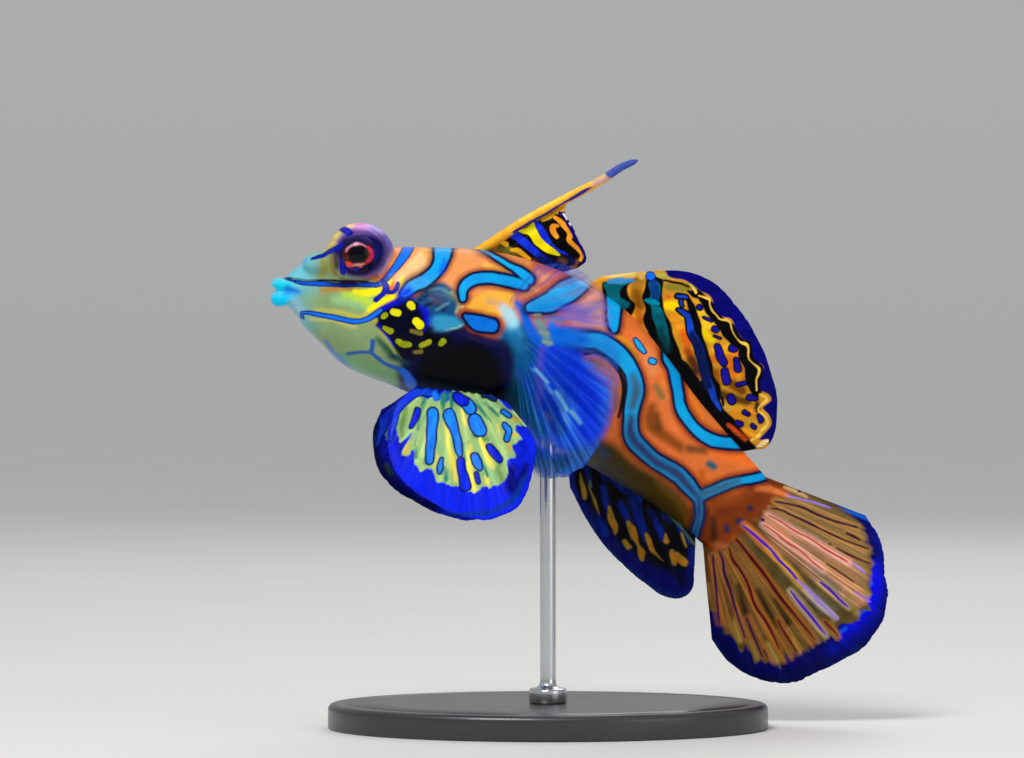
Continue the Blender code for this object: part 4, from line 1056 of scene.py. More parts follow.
# The fins. t runs from a fin's first ray to its last and k from its root to its margin. The rows of a root
# or a margin are t, x, z and, for a fin of the sides, y in millimetres.
print("fins")
finForm = {
    "half": 0.17, "thin": 0.07, "ray": 0.15, "taper": 0.75, "rootWidth": 0.26, "tipWidth": 0.1, "split": 0.38,
    "splitAgain": 0.7, "partings": (0.24, 0.11), "crestWidth": 0.24, "lineWidth": 0.14, "fray": 0.02,
    "nibble": 0.016, "flutter": 0.12, "waver": 5, "rows": 90, "step": 0.004, "slot": "fin",
    "streakTint": ((0.72, 0.74, 0.8, 1), (1.22, 1.2, 1.12, 1)),
}
spineLine = centreAt(np.linspace(0, bodyLength, 400))


def finCurve(rows):
    rows = np.array(rows, float)
    y = rows[:, 3] if rows.shape[1] > 3 else np.zeros(len(rows))
    return curveThrough(rows[:, 0], np.stack((rows[:, 1], y, rows[:, 2]), axis=1) * mm)


def middleY(spots):
    away = spots[:, None, [0, 2]] - spineLine[None][:, :, [0, 2]]
    return spineLine[(away**2).sum(axis=2).argmin(axis=1), 1]


def middlePlace(form):
    # a fin in the plane of the body: its root follows the backbone's bend and its margin waves
    root, margin = finCurve(form["root"]), finCurve(form["margin"])

    def place(t, k):
        start, end = root(t), margin(t)
        start[:, 1] = middleY(start)
        wave = form["ripple"] * np.sin(2.6 * math.pi * t + 0.6)
        end[:, 1] = start[:, 1] + (form.get("drift", 0.0) + wave) * mm
        return start + (end - start) * k[:, None]

    return place


def sidePlace(form, side):
    # a fin of one side, cupped outwards between its root and its margin
    root, margin = finCurve(form["root"]), finCurve(form["margin"])
    swing = np.array(form.get("farSwing", (0, 0, 0)) if side < 0 else (0, 0, 0)) * mm

    def place(t, k):
        start, end = root(t), margin(t) + swing
        middle = start + (end - start) * k[:, None]
        middle[:, 1] += form["cup"] * mm * np.sin(math.pi * k) * np.sqrt(np.abs(np.sin(math.pi * t)))
        middle[:, 1] *= -side
        return middle

    return place


def rayHeight(t, k, steps, width=None):
    # how far a point stands on a ray: 1 on its crest and 0 between; each ray parts in two and then in four
    if width is None:
        width = finForm["rootWidth"] + (finForm["tipWidth"] - finForm["rootWidth"]) * softStep(0.1, 0.8, k)
    first = finForm["partings"][0] * softStep(finForm["split"], 1.05, k)
    second = finForm["partings"][1] * softStep(finForm["splitAgain"], 1.1, k)
    found = np.zeros(len(t))
    here = t * steps
    nearest = np.round(here)
    for ray in (nearest - 1, nearest, nearest + 1):
        inside = (ray >= 0) & (ray <= steps)
        for a in (-1, 1):
            for b in (-1, 1):
                gap = here - ray - a * first - b * second
                found = np.maximum(found, np.where(inside, np.exp(-(gap / width) ** 2), 0))
    return found


def finPiece(name, form, place, paintPlace, node):
    form = {**finForm, **form}
    steps, rows = form["rays"] - 1, form["rows"]
    columns = steps * form["columns"] + 1
    t, k = np.meshgrid(np.linspace(0, 1, columns), np.linspace(0, 1, rows), indexing="ij")
    t, k = t.ravel(), k.ravel()
    ray = rayHeight(t, k, steps)
    crest = rayHeight(t, np.ones(len(t)), steps, form["crestWidth"])
    turn = t * steps
    uneven = 0.5 + 0.5 * np.sin(turn * 1.7 + 0.5) * np.sin(turn * 0.83 + 2)
    nibbles = 0.5 + 0.2 * np.sin(turn * 5.3 + 1) + 0.3 * np.sin(turn * 2.3 + 2 * np.sin(turn * 0.9))
    reach = k * (1 - form["fray"] * uneven * (1 - crest) * k - form["nibble"] * nibbles * k**3)
    step = form["step"]
    across = place(np.minimum(t + step, 1), reach) - place(np.maximum(t - step, 0), reach)
    outward = place(t, reach + step) - place(t, reach - step)
    normal = unit(np.cross(outward, across))
    flutter = form["flutter"] * k**2 * np.sin(turn * 2.1 + 2.5 * k) + 0.05 * k * np.cos(turn * math.tau)
    half = form["half"] + (form["thin"] - form["half"]) * k + ray * form["ray"] * (1 - form["taper"] * k)
    middle = place(t, reach) + normal * (flutter * mm)[:, None]
    front = middle + normal * (half * mm)[:, None]
    rear = middle - normal * (half * mm)[:, None]

    grid = gridFaces(columns, rows)
    count = columns * rows
    index = np.arange(count).reshape(columns, rows)
    first, last, left, right = index[:, 0], index[:, -1], index[0], index[-1]
    rims = []
    for line in (first, last[::-1], left[::-1], right):
        rims.append(np.stack((line[:-1], line[1:], line[1:] + count, line[:-1] + count), axis=1))
    faces = np.vstack((grid, grid[:, ::-1] + count, *rims))
    # on the bake map the front lies left, the rear right and the rims along the bottom
    u, v = t * 0.47 + 0.01, k * 0.94 + 0.05
    maps = [np.stack((u, v), axis=1)[grid.ravel()], np.stack((u + 0.5, v), axis=1)[grid[:, ::-1].ravel()]]
    for n, rim in enumerate(rims):
        along = np.linspace(0.01, 0.98, len(rim) + 1)
        low, high = np.full(len(rim), 0.004 + 0.01 * n), np.full(len(rim), 0.01 + 0.01 * n)
        corners = np.stack((along[:-1], low, along[1:], low, along[1:], high, along[:-1], high), axis=1)
        maps.append(corners.reshape(-1, 2))
    obj = meshObject(name, np.vstack((front, rear)), faces, np.vstack(maps))

    for label, values in (("ray", ray), ("across", turn), ("outward", k)):
        attribute(obj, label, np.tile(values, 2))
    spots = np.tile(seen(paintPlace(t, reach)), (2, 1))
    if "veils" in form:
        attribute(obj, "line", np.tile(rayHeight(t, k, steps, form["lineWidth"]), 2))
        loose = wander(spots, 1.5, 12)
        attribute(obj, "veil", zoneValues(loose, form["veil"], form["veils"])[:, 0])
        attribute(obj, "strength", zoneValues(loose, form["strength"], form["strengths"])[:, 0])
        zoneColour(obj, "rayTint", loose, form["rayTint"], form["rayTints"])
    zoneColour(obj, "ground", wander(spots, 0.6, 10), form["ground"], form["zones"])
    paintMarks(obj, wander(spots, 0.3, form["waver"]), form["layers"])
    dress(obj, finMaterial(name, form), form["slot"], node)


def streaks(graph, across, along, detail=3.0):
    # long thin clouds that run out with the rays
    x, y = graph.read("across") * across, graph.read("outward") * along
    place = graph.node("ShaderNodeCombineXYZ", {}, x, y, 0.0)
    return graph.node("ShaderNodeTexNoise", {}, place, 1.0, detail, 0.6)


def finMaterial(name, form):
    graph = Graph(name)
    ray = graph.read("ray")
    streak = streaks(graph, 5.0, 2.5)
    fine = streaks(graph, 6.0, 0.5, 2.0).between(0.44, 0.6)
    colour = paintedColour(graph, form["layers"], 0.4, (streak - 0.5) * 2.0 + (0.5 - ray) * 0.5, fine)
    colour = graph.shade(colour, graph.mix(*form["streakTint"], streak))
    # painted light and shade: each ray's crest is lighter and the membrane between the rays darker
    colour = graph.shade(colour, graph.mix((0.88, 0.88, 0.9, 1), (1.1, 1.1, 1.08, 1), ray))
    grain = graph.noise(0.18, 2.0)
    rough = graph.noise(0.5) * 0.16 + 0.34
    height = streaks(graph, 14.0, 5.0, 2.0) * 0.6 + grain * 0.4
    alpha = None
    if "veils" in form:  # the membrane lets the body show through, and its rays less so
        line = graph.read("line") * (streaks(graph, 1.7, 1.1, 2.0) * 1.5 - 0.1)
        colour = graph.mix(colour, graph.colour("rayTint"), (line * 0.9).clamp())
        veil = graph.read("veil") * ((streak - 0.5) * 1.7 + 1.0)
        alpha = (veil + line * graph.read("strength")).clamp()
    return graph.finish(colour, rough, graph.bump(height, 0.03, 0.4), alpha, **finCoat)


firstDorsal = {
    "root": [(0, -7.0, 47.35), (0.4, -3.6, 46.2), (1, 0.3, 44.9)],
    "margin": [(0, 2.7, 53.5), (0.3, 1.7, 51.8), (0.55, 2.9, 49.4), (0.8, 3.9, 46.9), (0.93, 2.6, 46.1),
        (1, 0.8, 46.0)],
    "rays": 5, "ripple": 0.35, "columns": 50, "ground": rgb(4, 2, 4), "nibble": 0.02, "flutter": 0.08,
    "streakTint": ((0.78, 0.78, 0.8, 1), (1.18, 1.16, 1.1, 1)),
    "zones": [
        ((206, 150, 22), 2, [(480, 248, 4), (489, 246, 8), (498, 240, 9), (507, 233, 5)]),
        ((236, 176, 36), 2, [(500, 239, 5), (512, 230, 7), (530, 219, 9), (548, 210, 9), (566, 202, 8),
            (584, 192, 8)]),
        ((138, 84, 30), 2, [(489, 249, 3), (496, 250, 4)]),
        ((94, 90, 24), 2, [(500, 250, 6), (508, 252, 7), (518, 254, 5)]),
        ((128, 124, 26), 1.5, [(507, 248, 3), (514, 250, 3)]),
        ((120, 58, 52), 3, [(534, 262, 6), (548, 268, 8), (560, 270, 6)]),
        ((150, 84, 70), 2, [(573, 268, 5), (577, 262, 4)]),
        ((8, 18, 70), 2.5, [(540, 261, 6), (554, 265, 8), (566, 268, 6)], [(570, 261, 8), (573, 262, 8)]),
        ((92, 60, 46), 2.5, [(560, 259, 6), (565, 262, 5)]),
    ],
    "layers": [
        paint("ambers", (236, 168, 34), deep=(210, 170, 30), soft=1.3, marks=[
            [(501, 242, 4), (506, 244, 6)], [(511, 249.6, 3), (518, 251, 5), (522, 253.6, 5), (527, 257, 3.4),
            (530, 259.4, 2)], [(543, 219.6, 4), (547, 218.6, 5), (553, 215, 4)],
            [(557, 212, 5), (563, 208.6, 7), (569, 205, 5)]]),
        paint("blues", (12, 26, 226), deep=(18, 60, 220), cloud=0.8, rim=((5, 4, 30), 0.8), marks=[
            [(513.6, 235, 9.6), (520, 239, 9.6), (526, 244, 9.4), (532, 249, 9), (538, 254.4, 8),
            (545, 258.6, 7)], [(537, 224, 7), (541, 230, 8.4), (545, 237, 8.4), (549, 243, 7)],
            [(553, 245, 3.4), (558, 250, 4.4), (563, 252.4, 4.6), (567.4, 255, 2.6)]]),
        paint("blueShade", (8, 22, 92), soft=5, marks=[[(540, 257, 6), (550, 261.6, 6), (560, 265.6, 5)]]),
        paint("yellows", (234, 240, 6), deep=(255, 222, 6), cloud=0.9, soft=1.2, marks=[
            [(518, 230), (526, 228), (533, 222.6), (535, 226), (536.4, 230), (540, 236), (545.4, 242.4),
            (552, 247.4), (556.6, 251), (560, 254.6), (556, 255), (549, 253.6), (541, 249), (534.6, 244),
            (531, 238.6), (527.6, 234.4), (522, 233)]]),
        paint("flames", (244, 136, 22), deep=(252, 176, 44), cloud=0.8, soft=1.2, marks=[
            [(558, 226, 3), (553.6, 227, 5.4), (553.6, 232, 6.4), (556.6, 236.4, 4.6)],
            [(555, 217.6, 3.4), (560, 221.4, 4.6), (566, 227.4, 5), (570, 234, 5.6), (569, 239.6, 5),
            (573, 244, 4.6), (578, 249, 4), (581.6, 254, 3.6), (580.6, 260, 3)]]),
        paint("navyMargin", (12, 0, 116), deep=(20, 6, 92), soft=1.2, marks=[
            [(560, 213, 3), (564.6, 217, 4.4), (570, 226, 5), (575.6, 236, 5), (580.6, 245, 5), (585, 253, 6),
            (587, 260, 6), (583, 264, 4)]]),
        paint("pearls", (244, 226, 236), marks=[
            [(564, 215, 2), (567, 219.6, 1.8)], [(570, 223.4, 1.4), (570.8, 225, 1.4)],
            [(576, 232.4, 1.8), (578, 236, 2)], [(579.4, 239.4, 1.8), (581, 242.2, 2)],
            [(569, 206.6, 2), (573, 204.4, 3), (576, 202.6, 2.6)]]),
    ],
}

secondDorsal = {
    "root": [(0, 3.7, 44.2), (0.25, 6.9, 40.4), (0.4, 8.9, 38.4), (0.55, 11.1, 36.0), (0.7, 13.7, 33.0),
        (0.85, 16.2, 30.3), (1, 18.7, 27.7)],
    "margin": [(0, 5.4, 45.2), (0.06, 10.0, 45.7), (0.14, 14.2, 45.6), (0.25, 17.5, 43.9), (0.4, 20.3, 40.4),
        (0.55, 22.0, 36.9), (0.7, 23.0, 33.0), (0.85, 22.9, 29.8), (0.95, 22.0, 28.1), (1, 20.8, 27.8)],
    "rays": 9, "ripple": 0.4, "columns": 40, "ground": rgb(216, 150, 36),
    "streakTint": ((0.72, 0.72, 0.78, 1), (1.2, 1.18, 1.1, 1)),
    "zones": [
        ((246, 206, 112), 2, [(584, 276, 6), (610, 275, 5), (648, 275, 6)]),
        ((178, 178, 80), 2, [(655, 276, 6), (668, 277, 5)]),
        ((180, 120, 30), 2, [(640, 279, 10), (637, 286, 12), (636, 296, 12)]),
        ((236, 188, 88), 1.6, [(640, 275.6, 7), (641, 276, 7)]),
        ((140, 84, 8), 3, [(636, 293, 9), (638, 299, 9), (640, 307, 9)]),
        ((190, 102, 10), 2.5, [(638, 313, 7), (640, 322, 8)]),
        ((150, 140, 48), 2.5, [(667, 287, 8), (680, 287.6, 8), (695, 289, 8)]),
        ((224, 152, 60), 1.8, [(665, 291.6, 4), (667, 296, 4)]),
        ((238, 102, 20), 1.6, [(667.6, 297.4, 3.6), (668.6, 298, 3.6)]),
        ((255, 208, 0), 2.4, [(667, 305, 8), (674, 307, 10), (681, 311, 9), (684, 317, 5)]),
        ((250, 160, 30), 2.5, [(674, 317, 8), (679, 325, 9)]),
        ((238, 108, 20), 2.5, [(683, 332, 9), (688, 343, 9)]),
        ((174, 68, 10), 2.5, [(688, 351, 8), (689, 353, 8)]),
        ((96, 46, 18), 3, [(691, 359, 10), (697, 370, 9), (703, 378, 8)]),
        ((56, 48, 20), 2.5, [(694, 370, 5), (697, 374, 4)]),
        ((150, 80, 40), 2, [(700, 376, 5), (703, 379, 3)]),
        ((255, 200, 42), 2.5, [(700, 309, 10), (708, 322, 14)]),
        ((250, 216, 6), 3, [(704, 332, 8), (712, 340, 8)]),
        ((240, 170, 32), 3, [(714, 348, 9), (726, 346, 12)]),
        ((238, 130, 30), 3, [(736, 341, 8), (742, 352, 9), (732, 356, 8)]),
        ((228, 118, 20), 3, [(712, 358, 8), (729, 362, 10), (734, 374, 8)]),
        ((150, 84, 10), 3, [(716, 372, 8), (718, 382, 9)]),
        ((196, 118, 30), 3, [(744, 368, 8), (745, 378, 7)]),
        ((124, 70, 6), 3, [(733, 384, 10), (742, 390, 10)]),
        ((100, 66, 18), 3, [(722, 394, 9), (738, 400, 8), (747, 402, 9)]),
        ((200, 158, 58), 2, [(724, 406, 5), (729, 408, 6)]),
        ((238, 150, 22), 3, [(733, 413, 8), (741, 419, 8)]),
        ((240, 138, 30), 3, [(749, 409, 7), (753, 414, 6)]),
        ((220, 160, 50), 2.5, [(751, 421, 7), (759, 427, 7)]),
        ((248, 166, 22), 2.5, [(744, 432, 7), (750, 436, 6)]),
        ((180, 80, 20), 2, [(724, 417, 4), (735, 426, 5), (749, 438, 4)]),
        ((62, 42, 12), 2.5, [(757, 403, 6), (757.6, 409, 6)]),
    ],
    "layers": [
        paint("gaps", (3, 3, 6), soft=1.6, marks=[
            [(604, 284), (636, 280), (631, 281), (627, 290), (630, 298), (635, 305), (632, 315), (628, 316),
            (622, 310), (606, 300)], [(648, 276), (645, 287), (642, 297), (645, 308), (643, 320), (648, 334),
            (656, 348), (668, 362), (684, 368), (680, 352), (674, 336), (670, 322), (664, 311), (663, 300),
            (662, 290), (664, 281), (660, 278)], [(664, 280.6, 2.6), (676, 282.6, 2.6), (689, 286.4, 2.4)],
            [(672, 356), (684, 360), (690, 366), (698, 378), (706, 392), (716, 408), (728, 424), (740, 440),
            (750, 454), (730, 456), (700, 424), (676, 386)], [(685, 294), (692, 300), (698, 314), (701, 324),
            (703, 335), (708, 350), (712, 362), (714, 375), (720, 385), (722, 395), (720, 403), (727, 412),
            (735, 420), (742, 430), (750, 441), (757, 447), (745, 450), (730, 432), (716, 414), (704, 400),
            (696, 386), (703, 378), (702, 372), (696, 358), (693, 345), (688, 330), (684, 318), (688, 310)]]),
        paint("teals", (0, 112, 124), deep=(0, 84, 106), cloud=0.9, rim=((4, 4, 8), 1.6), soft=1.6, fray=1,
            marks=[
            [(604, 282), (636, 280), (624, 288), (621, 296), (629, 300), (632, 304), (627, 310), (617, 309),
            (608, 301), (604, 291)], [(646, 300), (649, 294), (647.6, 283), (655, 279.6), (661.4, 284),
            (661.4, 296), (660, 304), (665, 313), (669, 328), (671, 342), (669, 354), (662, 345),
            (655.6, 330), (651, 318), (649.6, 308), (645, 303)]]),
        paint("tealDark", (0, 50, 54), soft=7, marks=[[(661, 330, 7), (667, 348, 7)]]),
        paint("tealShade", (8, 62, 134), soft=2.6, marks=[[(654, 284, 9), (655, 296, 9)]]),
        paint("tealGlow", (0, 146, 176), soft=1.6, marks=[[(646, 300, 2.6), (652, 302, 5), (658, 303, 3.6)]]),
        paint("tealTops", (62, 152, 212), soft=2, marks=[
            [(609, 281.6, 4), (620, 281, 6.4), (633, 280.6, 4)]]),
        paint("blueTops", (20, 108, 250), rim=((4, 14, 90), 1.0), marks=[
            [(649.6, 276, 9.4), (650.6, 276.4, 9.4)]]),
        paint("blues", (16, 78, 214), deep=(20, 52, 176), cloud=1, rim=((4, 4, 10), 2.0), fray=0.7, marks=[
            [(677, 296, 7), (686, 297.4, 7)], [(681, 301, 6), (682, 306, 6)], [(677, 309.6, 5),
            (683, 312.6, 9), (689, 318, 10), (690.6, 331, 10), (694.6, 338, 11), (700, 350, 11),
            (703, 364, 11), (707, 378, 11), (712, 391, 11), (716, 402, 9), (721, 410, 6)]]),
        paint("deeps", (4, 22, 84), soft=4, marks=[
            [(692, 334, 6), (700, 351, 9), (703, 365, 9), (707, 380, 9), (709, 386, 7)]]),
        paint("rootRed", (196, 70, 16), soft=2.4, marks=[[(728, 424, 3), (736, 431, 5), (745, 439, 4)]]),
        paint("spots", (20, 12, 130), deep=(28, 24, 176), cloud=0.7, rim=((6, 4, 14), 1.5), soft=1.2, marks=[
            [(699, 307.5, 7.4), (700, 307.6, 7.4)], [(704, 317.4, 4.4), (712, 320.6, 4.8)],
            [(714.4, 329, 8.4), (715.6, 329.6, 8.4)], [(714, 336, 3.6), (720.6, 338, 4)],
            [(717.4, 347, 8.4), (720, 355, 10), (723.8, 362.6, 8.4)], [(732.4, 348, 9.4), (734, 348.6, 9.4)],
            [(736.4, 360, 8), (737.8, 369, 8.4)], [(724.8, 371, 9.6), (726.6, 381, 10)],
            [(737.4, 384, 6), (745, 383, 6)], [(730.4, 397.6, 9.4), (731.8, 400.8, 9.4)],
            [(749.6, 397.4, 8), (754.8, 397.6, 8)], [(744.4, 412, 6), (748.4, 414.2, 6)],
            [(759.4, 416, 7), (760.8, 420, 7)], [(737.4, 422.8, 7.4), (740.2, 423.6, 7.4)],
            [(752.2, 425.4, 6), (754.8, 426.8, 6)]]),
        paint("zigzag", (3, 2, 5), soft=1.3, fray=1, marks=[
            [(690, 291), (700, 297), (705, 303), (708, 311), (715, 318), (722, 326), (728, 335), (735, 343),
            (742, 347), (743, 357), (748, 367), (750, 378), (753, 388), (756, 396), (762, 392), (764, 374),
            (763, 366), (757, 358), (752, 342), (743, 338), (735, 326), (722, 316), (714, 303), (700, 291)],
            [(688, 291, 3), (694, 295, 5), (700, 297, 6), (705, 303, 8), (708, 311, 7), (715, 318, 7),
            (722, 326, 9), (728, 335, 9.4), (735, 343, 7), (742, 347, 9), (743.4, 357, 9), (748, 367, 8.4),
            (750, 378, 9), (753, 388, 9), (755.4, 395, 4.6)], [(722, 398, 4), (723, 404, 3)]]),
        paint("thread", (250, 214, 100), deep=(252, 196, 60), cloud=0.6, marks=wider([
            [(690, 284, 2.4), (696, 293, 3.4)], [(699, 296, 2.2), (707, 298, 3.4), (710, 300, 2.6),
            (710, 304, 2), (712, 311, 2.6), (716, 315, 2), (720, 319, 2), (727, 320, 3), (730, 323, 2),
            (732, 330, 1.7), (737, 338, 2), (741, 342, 2.8), (746, 344, 4), (748, 348, 2.8),
            (748.5, 357, 2.4), (753, 363, 2), (759, 368, 3.6), (759, 373, 2.8), (756, 380, 2),
            (757, 390, 2.4)], [(760, 394, 2.8), (766, 398, 4.4), (765, 402, 3.6), (759, 408, 2.8),
            (760, 412, 2.2), (766, 418, 3.2), (767, 424, 3.6), (762, 430, 3.6), (757, 436, 3.6),
            (751, 440, 3)]], -0.6)),
        paint("margin", (4, 2, 128), deep=(5, 4, 92), cloud=1.8, soft=1.4, marks=[
            [(668, 276), (680, 279.4), (690, 283), (698, 290), (708, 294.4), (713, 301), (715, 309.6),
            (722, 316), (731, 319), (735, 327), (743, 339), (750.6, 342), (752.4, 351), (755.6, 360),
            (763, 366), (763, 374), (760, 381), (761, 390), (769, 394.6), (771, 400), (763, 408), (769, 415),
            (771, 424), (765, 432.4), (759, 439), (768, 440), (770, 450), (790, 462), (812, 380), (772, 290),
            (700, 254), (666, 262)]]),
        paint("creams", (252, 226, 160), marks=[[(757, 446, 2), (763, 443, 5), (767, 440, 2.4)]]),
    ],
}

analFin = {
    "root": [(0, 1.9, 27.4), (0.3, 5.5, 26.0), (0.5, 8.1, 25.0), (0.7, 10.7, 23.3), (0.85, 12.8, 21.9),
        (1, 14.6, 20.4)],
    "margin": [(0, 2.2, 24.0), (0.15, 4.1, 20.5), (0.3, 6.5, 17.2), (0.5, 9.7, 14.3), (0.7, 12.3, 12.8),
        (0.85, 14.4, 13.6), (1, 14.8, 16.6)],
    "rays": 8, "ripple": -0.4, "columns": 36, "ground": rgb(2, 3, 9),
    "zones": [
        ((1, 3, 84), 5, [(580, 502, 8), (592, 524, 14), (610, 545, 18), (630, 564, 22), (652, 578, 24),
            (676, 586, 22), (692, 572, 12), (697, 552, 8)]),
        ((3, 26, 92), 3, [(566, 478, 5), (574, 500, 5), (590, 523, 5), (603, 545, 5), (620, 563, 6),
            (640, 578, 5), (660, 592, 6), (678, 597, 5), (695, 588, 4)]),
        ((2, 2, 40), 4, [(676, 572, 10), (682, 580, 10)]),
    ],
    "layers": [
        paint("blues", (2, 36, 140), deep=(1, 14, 92), cloud=2, soft=4.4, fray=3, marks=[
            [(572, 460, 8), (571, 480, 7), (576, 497, 5)], [(586, 466, 4), (590, 484, 3)],
            [(597, 463, 6), (606, 474, 8), (618, 482, 9), (630, 490, 10), (637, 498, 8)],
            [(603, 488, 4), (606, 503, 5.6), (609, 513, 4)], [(598, 514, 5), (604, 532, 8)],
            [(620, 504, 5), (625, 515, 7.4), (630, 522, 6)],
            [(632, 498, 6), (636, 512, 8), (641, 527, 8), (647, 540, 5)],
            [(650, 511, 4), (656, 524, 5.6), (662, 538, 5)], [(664, 514, 4), (669, 522, 3)],
            [(678, 527, 4), (688, 543, 4)], [(690, 550, 5), (692, 565, 6)]]),
        paint("hairs", (58, 92, 84), soft=1.8, marks=[
            [(661, 509, 1.6), (675, 521, 3), (683, 531, 2.4), (690, 540, 2.6), (697, 548, 3)],
            [(589, 480, 1.6), (591, 487, 2)]]),
        paint("golds", (150, 110, 20), deep=(106, 90, 36), cloud=0.9, rim=((16, 14, 20), 0.8), soft=1.8,
            fray=1.2, marks=[
            [(579.6, 473, 3), (581, 482, 5), (583, 490, 6.4), (583.8, 498, 5)],
            [(588, 484, 2), (592, 495, 4), (596, 505, 4.4), (599, 515, 3)],
            [(608.6, 507, 4.6), (611, 518, 8.4), (615, 527, 9), (614.5, 534, 4)],
            [(624, 541, 6.4), (628, 547, 7)], [(628, 522, 5), (632, 530, 9), (635, 537, 8.4),
            (637.5, 545, 5.4), (641, 552, 8.4), (642, 559, 6)], [(646, 535, 5), (649, 541, 6.4),
            (652, 549, 6.4), (656, 554, 4.4), (663, 561, 2.4)], [(665.6, 535, 4), (666.4, 541, 7.4)],
            [(671.6, 551, 6), (674, 563, 7.4)], [(676, 555, 8), (684, 563, 9)],
            [(680.6, 534, 3), (683, 540, 4), (685.6, 546.6, 4)]]),
        paint("embers", (176, 116, 10), deep=(156, 78, 20), cloud=0.8, soft=3, marks=[
            [(612, 520, 3), (614.6, 527, 5)], [(632, 528, 4), (635, 536, 4)], [(641, 552, 4), (642, 555, 3)],
            [(648, 539, 2), (652, 549, 3)], [(666, 541, 4), (666.6, 541.4, 4)],
            [(673, 555, 5), (676, 560, 4)], [(681, 561, 5), (684, 563, 4)]]),
    ],
}

tailFin = {
    "root": [(0, 21.5, 25.2), (0.5, 18.2, 21.4), (1, 15.6, 18.6)],
    "margin": [(0, 32.4, 21.0), (0.12, 33.8, 18.4), (0.24, 34.4, 15.1), (0.35, 34.6, 12.5), (0.48, 33.4, 9.2),
        (0.6, 30.5, 6.6), (0.72, 27.1, 5.0), (0.82, 24.3, 3.8), (0.9, 21.2, 4.5), (0.96, 18.5, 6.1),
        (1, 16.7, 8.5)],
    "rays": 11, "ripple": 0.5, "drift": 2.2, "columns": 34, "rows": 104, "ground": rgb(4, 6, 92), "waver": 20,
    "streakTint": ((0.56, 0.56, 0.62, 1), (1.42, 1.38, 1.28, 1)),
    "zones": [
        ((4, 8, 70), 6, [(716, 636, 9), (740, 664, 12), (770, 680, 12), (806, 672, 12), (832, 656, 9)]),
        ((4, 30, 96), 3, [(714, 640, 4), (740, 676, 4), (784, 690, 5), (826, 674, 5), (860, 646, 4)]),
        ((2, 14, 140), 6, [(830, 650, 12), (862, 628, 14), (880, 596, 12), (882, 560, 9), (876, 530, 8),
            (866, 516, 6)]),
        ((4, 8, 226), 6, [(842, 634, 10), (860, 616, 14), (872, 596, 15), (876, 566, 10)]),
    ],
    "layers": [
        # painted highlights: small blue glints on the fin
        paint("glow", (0, 104, 232), soft=3.6, marks=[
            [(838, 634, 1.6), (846, 628, 2.4)], [(862, 612, 1.6), (868, 608, 2.4)],
            [(852, 618, 1.6), (858, 612, 2)], [(866, 590, 1.6), (871, 584, 2)],
            [(820, 503, 2.2), (846, 510, 2.6), (868, 519, 2)]]),
        paint("web", (110, 92, 50), deep=(58, 46, 18), cloud=1.6, soft=2, fray=5, marks=[
            [(690, 500), (740, 480), (780, 476), (812, 492), (832, 504), (856, 519), (866, 536), (866, 545),
            (872, 554), (868, 560), (872, 567), (868, 580), (872, 592), (864, 597), (869, 611), (856, 612),
            (858, 621), (842, 624), (838, 640), (828, 632), (825, 641), (817, 638), (816, 647), (806, 642),
            (808, 652), (796, 650), (794, 660), (786, 652), (780, 669), (772, 656), (766, 665), (758, 655),
            (755, 663), (747, 645), (741, 652), (732, 634), (724, 635), (716, 612), (690, 590)]]),
        paint("webKhaki", (190, 150, 96), deep=(150, 112, 66), soft=8, fine=0.6, marks=[
            [(772, 494), (800, 496), (830, 508), (856, 522), (866, 542), (868, 562), (868, 584), (850, 590),
            (820, 570), (790, 542), (764, 516)]]),
        paint("webPeach", (238, 178, 140), deep=(214, 140, 110), soft=7, fine=0.75, marks=[
            [(764, 520), (790, 528), (826, 546), (858, 572), (868, 596), (856, 606), (826, 590), (800, 566),
            (772, 542)]]),
        paint("webGreen", (96, 108, 92), soft=7, fine=0.5, marks=[
            [(786, 572, 6), (806, 590, 9), (830, 610, 10)], [(812, 566, 6), (836, 590, 8)]]),
        paint("webGold", (176, 124, 52), deep=(150, 92, 40), soft=6, fine=0.85, marks=[
            [(704, 560), (740, 552), (770, 578), (800, 614), (816, 640), (806, 650), (780, 664), (756, 654),
            (734, 636), (716, 610)]]),
        paint("webTips", (150, 130, 62), soft=5, fray=3, marks=[
            [(734, 622, 4), (740, 640, 5)], [(752, 642, 4), (758, 656, 5)], [(768, 644, 4), (778, 660, 5)],
            [(792, 640, 5), (798, 650, 4)], [(812, 634, 4), (818, 642, 4)], [(832, 622, 4), (836, 634, 4)],
            [(846, 596, 5), (858, 612, 5)], [(862, 582, 4), (867, 596, 4)]]),
        paint("webDark", (38, 30, 8), soft=6, marks=[
            [(738, 586, 4), (746, 612, 7)], [(758, 590, 4), (766, 606, 6), (776, 624, 5)],
            [(776, 600, 4), (788, 622, 6)], [(727, 580, 4), (733, 612, 5)], [(806, 606, 3), (816, 620, 4)]]),
        *rootLayers,
        *tailLines,
        paint("freckles", (44, 34, 120), soft=1.4, marks=[
            [(786, 484, 3), (787, 484, 3)], [(798, 491, 3), (799, 491.4, 3)],
            [(762, 520, 3.4), (763, 520, 3.4)]]),
    ],
}

